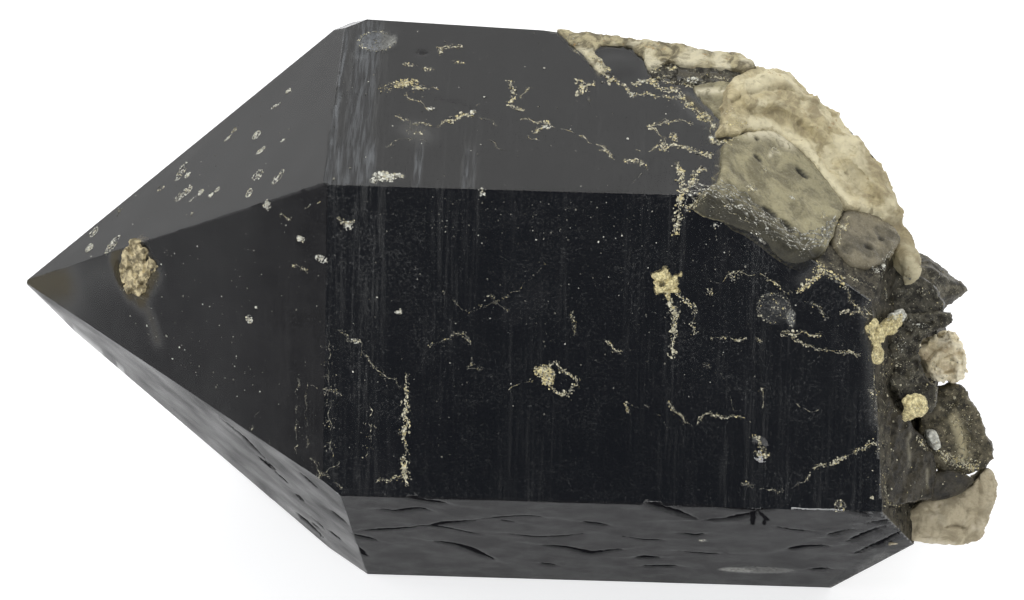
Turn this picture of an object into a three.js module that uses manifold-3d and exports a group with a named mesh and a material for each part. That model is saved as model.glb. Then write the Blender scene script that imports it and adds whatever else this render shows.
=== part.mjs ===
// Smoky quartz crystal: one large dark point that lies on a side of its prism, with smaller
// quartz crystals grown onto its broken base, lumps of feldspar, and patches of golden crust.
// Millimetres. +X runs along the crystal from its point to its base and +Z is up. The origin is
// on the resting face, straight below the long axis.

import * as THREE from 'three';
import { ConvexGeometry } from 'three/addons/geometries/ConvexGeometry.js';
import { mergeVertices } from 'three/addons/utils/BufferGeometryUtils.js';
import Module from 'manifold-3d';

// ---- Driving dimensions, in millimetres and degrees ----

const AXIS_HEIGHT = 31.2; // long axis above the resting face
const TIP_X = -55; // where the faces of the point meet
const SEAT_GAP = 0.4; // made round each lump, which leaves it about 0.3 clear of what it is set in

// The prism: the way each face looks round the long axis (0 is -Y, 90 is up), how far it leans
// towards the tip, and how far it is from the axis.
const PRISM_FACES = [
  { around: 90, lean: -0.25, distance: 29.4 },
  { around: 30.35, lean: -0.65, distance: 27.5 },
  { around: -29.75, lean: -0.45, distance: 28.1 },
  { around: -90, lean: 0, distance: AXIS_HEIGHT },
  { around: -150, lean: 0, distance: 28.6 },
  { around: 150, lean: -2.25, distance: 25.6 },
];

// The point: quartz slopes its end faces about 38 degrees from the prism. The distance is how far
// each one stands outside the common tip.
const POINT_FACES = [
  { around: 90.75, lean: 38.8, distance: 0 },
  { around: 30.25, lean: 36.9, distance: 0 },
  { around: -30.9, lean: 35.6, distance: 0 },
  { around: -90, lean: 37.9, distance: 3 },
  { around: -150, lean: 38.2, distance: 0 },
  { around: 149.2, lean: 35.9, distance: -0.3 },
];

// The broken base and the worn far edge: a point on each break, and the way it looks.
const BREAKS = {
  shoulder: { through: [25.5, 0, 60.5], looks: [0.485, -0.05, 0.873] },
  farShoulder: { through: [39.6, 31.3, 28.2], looks: [0.7, 0.48, 0.53] },
  end: { through: [42.4, -28, 37], looks: [0.955, -0.2, 0.22] },
  farEnd: { through: [51.5, 10, 12], looks: [0.93, 0.33, 0.15] },
  underEnd: { through: [46.5, -24, 17], looks: [0.914, 0, -0.405] },
  ridge: { through: [6.2, 12, 60.6], looks: [0.112, 0.6, 0.8] },
  farCorner: { through: [29.3, 10, 57], looks: [0.375, 0.642, 0.668] },
  farNotch: { through: [42.4, 7.6, 45.3], looks: [0.907, 0.247, 0.341] },
  wornTip: { through: [-54.6, 0, AXIS_HEIGHT], looks: [-1, -0.1, 0.2] },
};

// Smaller six-sided quartz crystals grown onto the base. Each starts inside the big one.
const SIDE_CRYSTALS = [
  { foot: [21.2, -8.8, 56.8], end: [39.8, -11.6, 49.6], radius: 6.3, point: 3.4, twist: 12 },
  { foot: [36, -7.5, 49], end: [45.6, -7.8, 46.4], radius: 3.6, point: 2.2, twist: 25 },
  { foot: [36, -1.5, 37], end: [52.9, -0.4, 34.6], radius: 4.6, point: 5, twist: 5 },
];

// Columns that the break leaves standing along the crystal: their place across it, their radius
// and how far they reach.
const COLUMNS = [
  { y: -24.4, z: 34, radius: 3.6, reach: 45.6 },
  { y: -19.6, z: 39.5, radius: 4, reach: 46.2 },
  { y: -24.2, z: 26.8, radius: 3.4, reach: 47.2 },
  { y: -14.6, z: 32.4, radius: 4.6, reach: 49.2 },
  { y: -14.2, z: 25.4, radius: 4.4, reach: 56 },
  { y: -8, z: 16.5, radius: 5.5, reach: 54.4 },
  { y: 3, z: 22, radius: 6, reach: 53.4 },
  { y: 6, z: 9.5, radius: 5, reach: 48.5 },
];

// Lumps of other minerals set into the quartz. Each node is one or more rounded facetted lumps.
const ATTACHED = [
  {
    name: 'shoulder_feldspar',
    color: 0xc8bc98,
    lumps: [
      { centre: [30.6, 4, 56], radii: [6.6, 6.8, 4.1], turn: 24, seed: 3 },
      { centre: [37, 2.6, 51.8], radii: [6.4, 6, 4.4], turn: 34, seed: 5 },
      { centre: [42.6, -0.6, 46.8], radii: [5, 4, 5], turn: 46, seed: 8 },
    ],
  },
  {
    name: 'ridge_feldspar',
    color: 0x9b947a,
    lumps: [
      { centre: [12.5, 10.4, 59.4], radii: [7.6, 1.8, 1.5], turn: 2, seed: 11 },
      { centre: [21.6, 8, 59.2], radii: [6.2, 2.6, 2], turn: 4, seed: 13 },
    ],
  },
  {
    name: 'base_feldspar_lump',
    color: 0xb3a88c,
    lumps: [{ centre: [49.3, -7.2, 31.6], radii: [3.4, 3.2, 4], turn: 20, seed: 17 }],
  },
  {
    name: 'base_feldspar_block',
    color: 0xc3b79a,
    lumps: [
      { centre: [50, -19.6, 19.6], radii: [4.8, 4.4, 4.2], turn: -10, seed: 19 },
      { centre: [53.2, -18.6, 20.2], radii: [3.6, 4.2, 4], turn: 15, seed: 23 },
    ],
  },
  {
    name: 'tip_crust',
    color: 0xa8945c,
    lumps: [{ centre: [-40.4, -6.2, 40], radii: [2.6, 2.4, 3], turn: 35, seed: 29 }],
  },
  {
    name: 'front_crust',
    color: 0xb5a878,
    lumps: [{ centre: [18.8, -18.6, 52.2], radii: [1.5, 1, 1.7], turn: 0, seed: 31 }],
  },
  {
    name: 'base_crust',
    color: 0xb8a268,
    lumps: [{ centre: [42, -20.6, 46.8], radii: [1.7, 1.6, 2.4], turn: 10, seed: 37 }],
  },
];

const LUMP_POINTS = 34; // corners of a lump
const LUMP_WEAR = 0.14; // how far a corner may be worn in, as a share of the radius

const QUARTZ_COLOR = 0x2c2c30;
const SIX = 6;

// ---- Geometry helpers ----

const wasm = await Module();
wasm.setup();

/** The plane of a face that leans from a long axis through the given point. */
function facePlane({ around, lean, distance }, axisPoint) {
  const turn = THREE.MathUtils.degToRad(around);
  const tilt = THREE.MathUtils.degToRad(lean);
  const normal = new THREE.Vector3(
    -Math.sin(tilt),
    -Math.cos(tilt) * Math.cos(turn),
    Math.cos(tilt) * Math.sin(turn),
  );
  return new THREE.Plane().setFromNormalAndCoplanarPoint(normal, axisPoint).translate(
    normal.clone().multiplyScalar(distance),
  );
}

/** The plane of a break, from a point on it and the way it looks. */
function breakPlane({ through, looks }) {
  const normal = new THREE.Vector3(...looks).normalize();
  return new THREE.Plane().setFromNormalAndCoplanarPoint(normal, new THREE.Vector3(...through));
}

/** Where three planes meet, or null where they have no single common point. */
function meetingPoint(a, b, c) {
  const rows = new THREE.Matrix3().set(...a.normal, ...b.normal, ...c.normal);
  if (Math.abs(rows.determinant()) < 1e-6) return null;
  return new THREE.Vector3(-a.constant, -b.constant, -c.constant).applyMatrix3(rows.invert());
}

/** The corners of the convex body that lies behind all the planes. */
function cornersBehind(planes) {
  const corners = [];
  for (let i = 0; i < planes.length; i += 1) {
    for (let j = i + 1; j < planes.length; j += 1) {
      for (let k = j + 1; k < planes.length; k += 1) {
        const corner = meetingPoint(planes[i], planes[j], planes[k]);
        const inside = corner && planes.every((plane) => plane.distanceToPoint(corner) < 1e-6);
        if (inside) corners.push(corner);
      }
    }
  }
  return corners;
}

/** A solid of the manifold library from the convex hull of some points. */
function hullSolid(points) {
  const hull = new ConvexGeometry(points);
  hull.deleteAttribute('normal');
  hull.deleteAttribute('uv');
  const merged = mergeVertices(hull, 1e-4);
  return new wasm.Manifold(
    new wasm.Mesh({
      numProp: 3,
      vertProperties: new Float32Array(merged.attributes.position.array),
      triVerts: new Uint32Array(merged.index.array),
    }),
  );
}

/** One solid from several that overlap. */
function joined(solids) {
  return solids.reduce((whole, solid) => whole.add(solid));
}

/** A three.js geometry from a solid of the manifold library. */
function geometryOf(solid) {
  const { numProp, vertProperties, triVerts } = solid.getMesh();
  const positions = [];
  for (let i = 0; i < vertProperties.length; i += numProp) {
    positions.push(vertProperties[i], vertProperties[i + 1], vertProperties[i + 2]);
  }
  const geometry = new THREE.BufferGeometry();
  geometry.setAttribute('position', new THREE.Float32BufferAttribute(positions, 3));
  geometry.setIndex([...triVerts]);
  geometry.computeVertexNormals();
  return geometry;
}

/** Even pseudo-random numbers from 0 to 1, always the same for one seed. */
function randomFrom(seed) {
  let state = seed * 7919 + 1;
  return () => {
    state = (state * 16807) % 2147483647;
    return state / 2147483647;
  };
}

// ---- Sub-parts ----

/** The big crystal: prism, point and breaks. */
function mainCrystal() {
  const axis = new THREE.Vector3(0, 0, AXIS_HEIGHT);
  const tip = new THREE.Vector3(TIP_X, 0, AXIS_HEIGHT);
  return hullSolid(
    cornersBehind([
      ...PRISM_FACES.map((face) => facePlane(face, axis)),
      ...POINT_FACES.map((face) => facePlane(face, tip)),
      ...Object.values(BREAKS).map(breakPlane),
    ]),
  );
}

/** A small six-sided crystal from its foot to its pointed end. */
function sideCrystal({ foot, end, radius, point, twist }) {
  const from = new THREE.Vector3(...foot);
  const along = new THREE.Vector3(...end).sub(from);
  const length = along.length();
  const turned = new THREE.Quaternion().setFromUnitVectors(
    new THREE.Vector3(1, 0, 0),
    along.normalize(),
  );
  const corners = [new THREE.Vector3(length, 0, 0)];
  for (let i = 0; i < SIX; i += 1) {
    const angle = THREE.MathUtils.degToRad(twist + (360 / SIX) * i);
    const y = radius * Math.cos(angle);
    const z = radius * Math.sin(angle);
    corners.push(new THREE.Vector3(0, y, z), new THREE.Vector3(length - point, y, z));
  }
  return hullSolid(corners.map((corner) => corner.applyQuaternion(turned).add(from)));
}

/** A column left standing on the break, with a blunt end. */
function column({ y, z, radius, reach }) {
  const start = reach - 4 * radius;
  return sideCrystal({
    foot: [start, y, z],
    end: [reach, y, z],
    radius,
    point: radius * 0.35,
    twist: 30,
  });
}

/** A rounded, facetted lump, made larger all round by grow. */
function lump({ centre, radii, turn, seed }, grow = 0) {
  const random = randomFrom(seed);
  const golden = Math.PI * (3 - Math.sqrt(5));
  const pitch = new THREE.Quaternion().setFromAxisAngle(
    new THREE.Vector3(0, 1, 0),
    THREE.MathUtils.degToRad(turn),
  );
  const points = [];
  for (let i = 0; i < LUMP_POINTS; i += 1) {
    const height = 1 - (2 * (i + 0.5)) / LUMP_POINTS;
    const ring = Math.sqrt(1 - height * height);
    const worn = 1 - LUMP_WEAR * random();
    points.push(
      new THREE.Vector3(
        ring * Math.cos(golden * i) * (radii[0] * worn + grow),
        ring * Math.sin(golden * i) * (radii[1] * worn + grow),
        height * (radii[2] * worn + grow),
      )
        .applyQuaternion(pitch)
        .add(new THREE.Vector3(...centre)),
    );
  }
  return hullSolid(points);
}

/** All the lumps of one attached mineral as one solid. */
function attachedSolid({ lumps }, grow = 0) {
  return joined(lumps.map((each) => lump(each, grow)));
}

/** A solid with a seat cut in it for each of some attached minerals. */
function seated(solid, minerals) {
  return minerals.reduce((cut, mineral) => cut.subtract(attachedSolid(mineral, SEAT_GAP)), solid);
}

/** The quartz: the big crystal and all that grew onto it, with a seat for each lump. */
function quartzSolid() {
  const grown = joined([
    mainCrystal(),
    ...SIDE_CRYSTALS.map(sideCrystal),
    ...COLUMNS.map(column),
  ]);
  return seated(grown, ATTACHED);
}

/** A named mesh with its own material. */
function namedMesh(name, solid, color, roughness) {
  const material = new THREE.MeshStandardMaterial({
    color,
    roughness,
    metalness: 0,
    flatShading: true,
  });
  const mesh = new THREE.Mesh(geometryOf(solid), material);
  mesh.name = name;
  return mesh;
}

// ---- Assembly ----

const crystal = new THREE.Group();
crystal.add(namedMesh('smoky_quartz', quartzSolid(), QUARTZ_COLOR, 0.15));
ATTACHED.forEach((mineral, index) => {
  const solid = seated(attachedSolid(mineral), ATTACHED.slice(0, index));
  crystal.add(namedMesh(mineral.name, solid, mineral.color, 0.8));
});

export default crystal;
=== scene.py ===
"""Smoky quartz crystal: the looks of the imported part.

The big dark crystal is cut from a block by its own face planes, divided finely, then worn,
grooved and pitted. Paler quartz, feldspar, golden crust and vein grains are pieces of their own
on it. Sizes are in millimetres until a finished mesh is scaled to metres.
"""

import logging
import math
import random
from dataclasses import dataclass, field
from enum import Enum
from typing import Any, Iterable, Iterator, Sequence

import bmesh
import bpy
import numpy as np
from mathutils import Euler, Matrix, Vector, noise
from mathutils.bvhtree import BVHTree


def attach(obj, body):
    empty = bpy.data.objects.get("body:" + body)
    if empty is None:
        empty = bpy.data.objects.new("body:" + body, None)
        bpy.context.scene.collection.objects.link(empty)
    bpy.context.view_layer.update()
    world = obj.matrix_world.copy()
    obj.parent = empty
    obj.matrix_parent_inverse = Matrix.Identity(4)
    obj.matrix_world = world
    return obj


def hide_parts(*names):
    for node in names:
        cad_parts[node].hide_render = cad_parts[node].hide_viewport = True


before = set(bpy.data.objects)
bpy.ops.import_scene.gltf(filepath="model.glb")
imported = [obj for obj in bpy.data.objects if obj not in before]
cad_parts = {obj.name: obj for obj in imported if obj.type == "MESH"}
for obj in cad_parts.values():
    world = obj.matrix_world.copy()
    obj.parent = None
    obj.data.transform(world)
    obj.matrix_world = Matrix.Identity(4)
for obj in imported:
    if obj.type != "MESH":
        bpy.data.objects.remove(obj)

logging.basicConfig(level=logging.INFO, format="%(levelname)s %(name)s: %(message)s")
log = logging.getLogger("smoky_quartz")

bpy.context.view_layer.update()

MM = 0.001
QUARTZ_IOR = 1.544
AXIS = Vector((0, 0, 31.2))
TIP = Vector((-55, 0, 31.2))
ALONG = Vector((1, 0, 0))
BLACK = (0.012, 0.011, 0.009)

Array = np.ndarray
Shape = bmesh.types.BMesh
Piece = bpy.types.Object
Point = tuple[float, float]
Line = tuple[Point, ...]
Triple = tuple[float, float, float]
Places = tuple[Array, Array]
Plane = tuple[Vector, Vector]


# -------- surfaces that things are placed on


@dataclass(frozen=True, eq=False)
class Surface:
    """A plane with directions of its own: along, across and out.

    Args:
        foot: the point that distances are measured from.
        normal: the way it looks.
        rough: how far it rises and falls.
    """

    foot: Vector
    normal: Vector
    rough: float = 0.0

    def axes(self) -> tuple[Vector, Vector]:
        """The directions along the surface, away from the tip, and across it."""
        along = (ALONG - self.normal * ALONG.dot(self.normal)).normalized()
        return along, self.normal.cross(along)

    def place(self, along: float, across: float, height: float = 0.0) -> Vector:
        """The point at some distance along, across and above the surface."""
        one, two = self.axes()
        return self.foot + one * along + two * across + self.normal * height

    def coordinates(self, points: Array) -> Places:
        """How far each point lies along and across the surface."""
        one, two = self.axes()
        offset = points - np.array(self.foot)
        return offset @ np.array(one), offset @ np.array(two)


def natural(around: float, lean: float, distance: float, start: Vector = AXIS) -> Surface:
    """A natural face of the crystal.

    Args:
        around: the way it looks round the long axis, in degrees; 0 is -Y and 90 is up.
        lean: how far it leans towards the tip, in degrees.
        distance: how far it is from the start.
        start: a point of the long axis.

    Returns:
        The face.
    """
    turn, tilt = math.radians(around), math.radians(lean)
    level = math.cos(tilt)
    normal = Vector((-math.sin(tilt), -level * math.cos(turn), level * math.sin(turn)))
    return Surface(start + normal * distance, normal)


def broken(through: Triple, looks: Triple, rough: float = 0.5) -> Surface:
    """A broken or worn plane through a point."""
    return Surface(Vector(through), Vector(looks).normalized(), rough)


class Face(Enum):
    """The faces of the big crystal by name: the prism, then the point."""

    TOP = natural(90, -0.25, 29.4)
    FRONT = natural(30.35, -0.65, 27.5)
    LOWER_FRONT = natural(-29.75, -0.45, 28.1)
    UNDER = natural(-90, 0, 31.2)
    LOWER_BACK = natural(-150, 0, 28.6)
    BACK = natural(150, -2.25, 25.6)
    TIP_TOP = natural(90.75, 38.8, 0, TIP)
    TIP_FRONT = natural(30.25, 36.9, 0, TIP)
    TIP_LOWER = natural(-30.9, 35.6, 0, TIP)
    TIP_UNDER = natural(-90, 37.9, 3, TIP)
    TIP_LOWER_BACK = natural(-150, 38.2, 0, TIP)
    TIP_BACK = natural(149.2, 35.9, -0.3, TIP)


TOP, FRONT, LOWER_FRONT = Face.TOP.value, Face.FRONT.value, Face.LOWER_FRONT.value
TIP_TOP, TIP_FRONT, TIP_LOWER = Face.TIP_TOP.value, Face.TIP_FRONT.value, Face.TIP_LOWER.value
SHOULDER = broken((25.5, 0, 60.5), (0.485, -0.05, 0.873), 0.3)
ROOT_SIDE = broken((48, -18, 32), (0.036, -0.73, 0.682))
NATURAL_FACES = [face.value for face in Face]
PRISM_FACES = 6
BREAKS = (
    SHOULDER,
    broken((39.6, 31.3, 28.2), (0.7, 0.48, 0.53), 0.7),
    broken((42.4, -28, 37), (0.955, -0.2, 0.22), 0.7),
    broken((51.5, 10, 12), (0.93, 0.33, 0.15), 0.8),
    broken((46.5, -24, 17), (0.914, 0, -0.405)),
    broken((6.2, 12, 60.6), (0.112, 0.6, 0.8), 0.3),
    broken((29.3, 10, 57), (0.375, 0.642, 0.668), 0.3),
    broken((42.4, 7.6, 45.3), (0.907, 0.247, 0.341), 0.4),
)
WORN = (
    broken((-54.6, 0, 31.2), (-1, -0.1, 0.2), 0.05),
    broken((-17.9, 12.8, 60.1), (-0.33, 0.47, 0.81), 0.1),
)


# -------- mesh helpers


def cut_away(bm: Shape, through: Vector, looks: Vector) -> None:
    """Cuts off what lies beyond a plane and closes the cut.

    Args:
        bm: the solid to cut.
        through: a point on the plane.
        looks: the plane's outward direction.
    """
    whole = bm.verts[:] + bm.edges[:] + bm.faces[:]
    cut = bmesh.ops.bisect_plane(
        bm, geom=whole, dist=1e-5, plane_co=through, plane_no=looks, clear_outer=True
    )
    rim = [item for item in cut["geom_cut"] if isinstance(item, bmesh.types.BMEdge)]
    if rim:
        bmesh.ops.holes_fill(bm, edges=rim, sides=0)


def divide(bm: Shape, faces: list[Any], planes: Sequence[Plane]) -> None:
    """Draws the lines where ordered planes meet the surface, and removes nothing.

    Args:
        bm: the mesh.
        faces: the faces to divide.
        planes: a point and a direction for each plane, in order along that direction.
    """
    if not planes or not faces:
        return
    middle = len(planes) // 2
    through, across = planes[middle]
    edges = {edge for face in faces for edge in face.edges}
    verts = {vert for face in faces for vert in face.verts}
    whole = [*verts, *edges, *faces]
    cut = bmesh.ops.bisect_plane(bm, geom=whole, dist=1e-5, plane_co=through, plane_no=across)
    ahead, behind = [], []
    for item in cut["geom"]:
        if isinstance(item, bmesh.types.BMFace):
            beyond = (item.calc_center_median() - through).dot(across) > 0
            (ahead if beyond else behind).append(item)
    divide(bm, behind, planes[:middle])
    divide(bm, ahead, planes[middle + 1 :])


def vertex_array(bm: Shape) -> Array:
    """The places of all vertices."""
    return np.array([vertex.co[:] for vertex in bm.verts])


def set_vertices(bm: Shape, places: Array) -> None:
    """Moves every vertex to its new place, and none below the floor."""
    places[:, 2] = np.maximum(places[:, 2], 0.0)
    for vertex, place in zip(bm.verts, places.tolist()):
        vertex.co = place


def ruffle(points: Array, size: float, octaves: int = 3, seed: int = 0) -> Array:
    """Smooth noise from about -1 to 1 at each point.

    Args:
        points: the places to read.
        size: the width of the largest humps.
        octaves: how many layers there are, each finer than the one before.
        seed: moves the pattern.

    Returns:
        One value for each point.
    """
    scaled = points / size + seed * 17.3
    return np.array([noise.fractal(row, 1.0, 2.0, octaves) for row in scaled.tolist()])


def chips(points: Array, size: float, seed: int, squash: Triple) -> Array:
    """A flat random height from -1 to 1 for each cell of a broken-up, squashed pattern."""
    scaled = points / size * np.array(squash) + seed * 11.7
    heights = [noise.cell(noise.voronoi(row)[1][0] * 7.31) for row in scaled.tolist()]
    return np.array(heights)


def smooth_rise(value: Array, low: float, high: float) -> Array:
    """A smooth rise from 0 at low to 1 at high."""
    part = np.clip((value - low) / (high - low), 0.0, 1.0)
    return part * part * (3.0 - 2.0 * part)


def hump(distance: Array, power: int = 2) -> Array:
    """1 at no distance, falling off smoothly to nothing."""
    return np.exp(-(distance**power))


def skinned(bm: Shape, size: float) -> Shape:
    """Skins a shape with an even net of faces.

    Args:
        bm: the shape, which is freed.
        size: the width of a face.

    Returns:
        The skin, as a new bmesh.
    """
    mesh = bpy.data.meshes.new("blank")
    bm.to_mesh(mesh)
    bm.free()
    blank = bpy.data.objects.new("blank", mesh)
    bpy.context.scene.collection.objects.link(blank)
    net = blank.modifiers.new("net", "REMESH")
    net.mode, net.voxel_size, net.adaptivity = "VOXEL", size, 0.0
    shaped = blank.evaluated_get(bpy.context.evaluated_depsgraph_get())
    result = bmesh.new()
    result.from_mesh(shaped.to_mesh())
    shaped.to_mesh_clear()
    bpy.data.objects.remove(blank)
    bpy.data.meshes.remove(mesh)
    return result


def finished(
    name: str, bm: Shape, finish: "Finish", slot: str, stands_for: Sequence[str] = (),
    sharp: float = 35.0, **layers: Array,
) -> Piece:
    """Turns a bmesh in millimetres into a finished piece in metres.

    Args:
        name: the piece's name.
        bm: its shape, which is freed.
        finish: its finish.
        slot: the record's material slot; not used.
        stands_for: the CAD nodes it replaces.
        sharp: edges sharper than this many degrees stay crisp.
        layers: one value a vertex for each named attribute.

    Returns:
        The new object, which rides on the root body.
    """
    bmesh.ops.scale(bm, vec=(MM, MM, MM), verts=bm.verts)
    for face in bm.faces:
        face.smooth = True
    mesh = bpy.data.meshes.new(name)
    bm.to_mesh(mesh)
    bm.free()
    for layer, values in layers.items():
        attribute = mesh.attributes.new(layer, "FLOAT", "POINT")
        attribute.data.foreach_set("value", values.astype(np.float32))
    mesh.set_sharp_from_angle(angle=math.radians(sharp))
    mesh.materials.append(material_of(finish))
    piece = bpy.data.objects.new(name, mesh)
    bpy.context.scene.collection.objects.link(piece)
    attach(piece, "root")
    if stands_for:
        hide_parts(*stands_for)
    triangles = sum(len(polygon.vertices) - 2 for polygon in mesh.polygons)
    log.info("%s: %d triangles", name, triangles)
    return piece


# -------- shader helpers


class Sock:
    """A shader socket that takes part in sums."""

    def __init__(self, graph: "Graph", socket: bpy.types.NodeSocket) -> None:
        """Keeps the graph and the output socket."""
        self.graph = graph
        self.socket = socket

    def _math(self, operation: str, *values: "Sock | float") -> "Sock":
        """Adds a Math node on some values."""
        return self.graph.node("ShaderNodeMath", {"operation": operation}, dict(enumerate(values)))

    def __add__(self, other: "Sock | float") -> "Sock":
        """This plus another value."""
        return self._math("ADD", self, other)

    __radd__ = __add__

    def __sub__(self, other: "Sock | float") -> "Sock":
        """This minus another value."""
        return self._math("SUBTRACT", self, other)

    def __rsub__(self, other: "Sock | float") -> "Sock":
        """Another value minus this."""
        return self._math("SUBTRACT", other, self)

    def __mul__(self, other: "Sock | float") -> "Sock":
        """This times another value."""
        return self._math("MULTIPLY", self, other)

    __rmul__ = __mul__

    def above(self, low: float, high: float) -> "Sock":
        """A smooth rise from 0 at low to 1 at high."""
        settings = {"interpolation_type": "SMOOTHSTEP"}
        return self.graph.node("ShaderNodeMapRange", settings, {0: self, 1: low, 2: high})


class Graph:
    """A node tree that is written as calls."""

    def __init__(self, tree: bpy.types.NodeTree) -> None:
        """Empties the tree."""
        self.tree = tree
        self.tree.nodes.clear()

    def node(
        self, kind: str, settings: dict[str, Any] | None = None,
        inputs: dict[int | str, Any] | None = None, output: int | str = 0,
    ) -> Sock | None:
        """Adds one node.

        Args:
            kind: the node's type.
            settings: its properties, set before its sockets.
            inputs: a value or a Sock for each input socket.
            output: the output socket that is wanted.

        Returns:
            The wanted output, or None if the node has none.
        """
        made = self.tree.nodes.new(kind)
        for key, value in (settings or {}).items():
            setattr(made, key, value)
        for key, value in (inputs or {}).items():
            if isinstance(value, Sock):
                self.tree.links.new(value.socket, made.inputs[key])
            elif made.inputs[key].type == "RGBA":
                made.inputs[key].default_value = (*value, 1.0)
            else:
                made.inputs[key].default_value = value
        return Sock(self, made.outputs[output]) if made.outputs else None

    def where(self, *stretch: float) -> Sock:
        """The place on the piece in millimetres, stretched along each axis."""
        coordinates = self.node("ShaderNodeTexCoord", output="Object")
        scale = tuple(value / MM for value in stretch or (1, 1, 1))
        return self.node("ShaderNodeVectorMath", {"operation": "MULTIPLY"}, {0: coordinates, 1: scale})

    def noise(
        self, where: Sock, size: float, detail: float = 4.0, rough: float = 0.55, swirl: float = 0.0
    ) -> Sock:
        """Noise from 0 to 1 with humps of about the given size in millimetres."""
        inputs = {"Vector": where, "Scale": 1.0 / size, "Detail": detail}
        return self.node("ShaderNodeTexNoise", {}, {**inputs, "Roughness": rough, "Distortion": swirl} )

    def cells(self, where: Sock, size: float) -> Sock:
        """Distance to the middles of cells of about the given size in millimetres."""
        inputs = {"Vector": where, "Scale": 1.0 / size}
        return self.node("ShaderNodeTexVoronoi", {}, inputs, "Distance")

    def blend(self, factor: Sock, first: Any, second: Any) -> Sock:
        """A colour between two colours."""
        return self.node("ShaderNodeMix", {"data_type": "RGBA"}, {0: factor, 6: first, 7: second}, 2)

    def layer(self, name: str) -> Sock:
        """One of the piece's own attributes."""
        return self.node("ShaderNodeAttribute", {"attribute_name": name}, output="Fac")

    def bump(self, height: Sock, strength: float, distance: float) -> Sock:
        """A normal from a height; the distance is in millimetres."""
        inputs = {"Strength": strength, "Distance": distance * MM, "Height": height}
        return self.node("ShaderNodeBump", {}, inputs)

    def principled(self, **inputs: Any) -> Sock:
        """A Principled shader; underscores in the names stand for spaces."""
        named = {key.replace("_", " "): value for key, value in inputs.items()}
        return self.node("ShaderNodeBsdfPrincipled", {}, named)

    def mix(self, factor: Sock, first: Sock, second: Sock) -> Sock:
        """One shader fading into another."""
        return self.node("ShaderNodeMixShader", {}, {0: factor, 1: first, 2: second})

    def end(self, kind: str, **ends: Sock) -> None:
        """Ends the graph in an output node."""
        self.node(f"ShaderNodeOutput{kind}", {}, ends)


# -------- finishes


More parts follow.
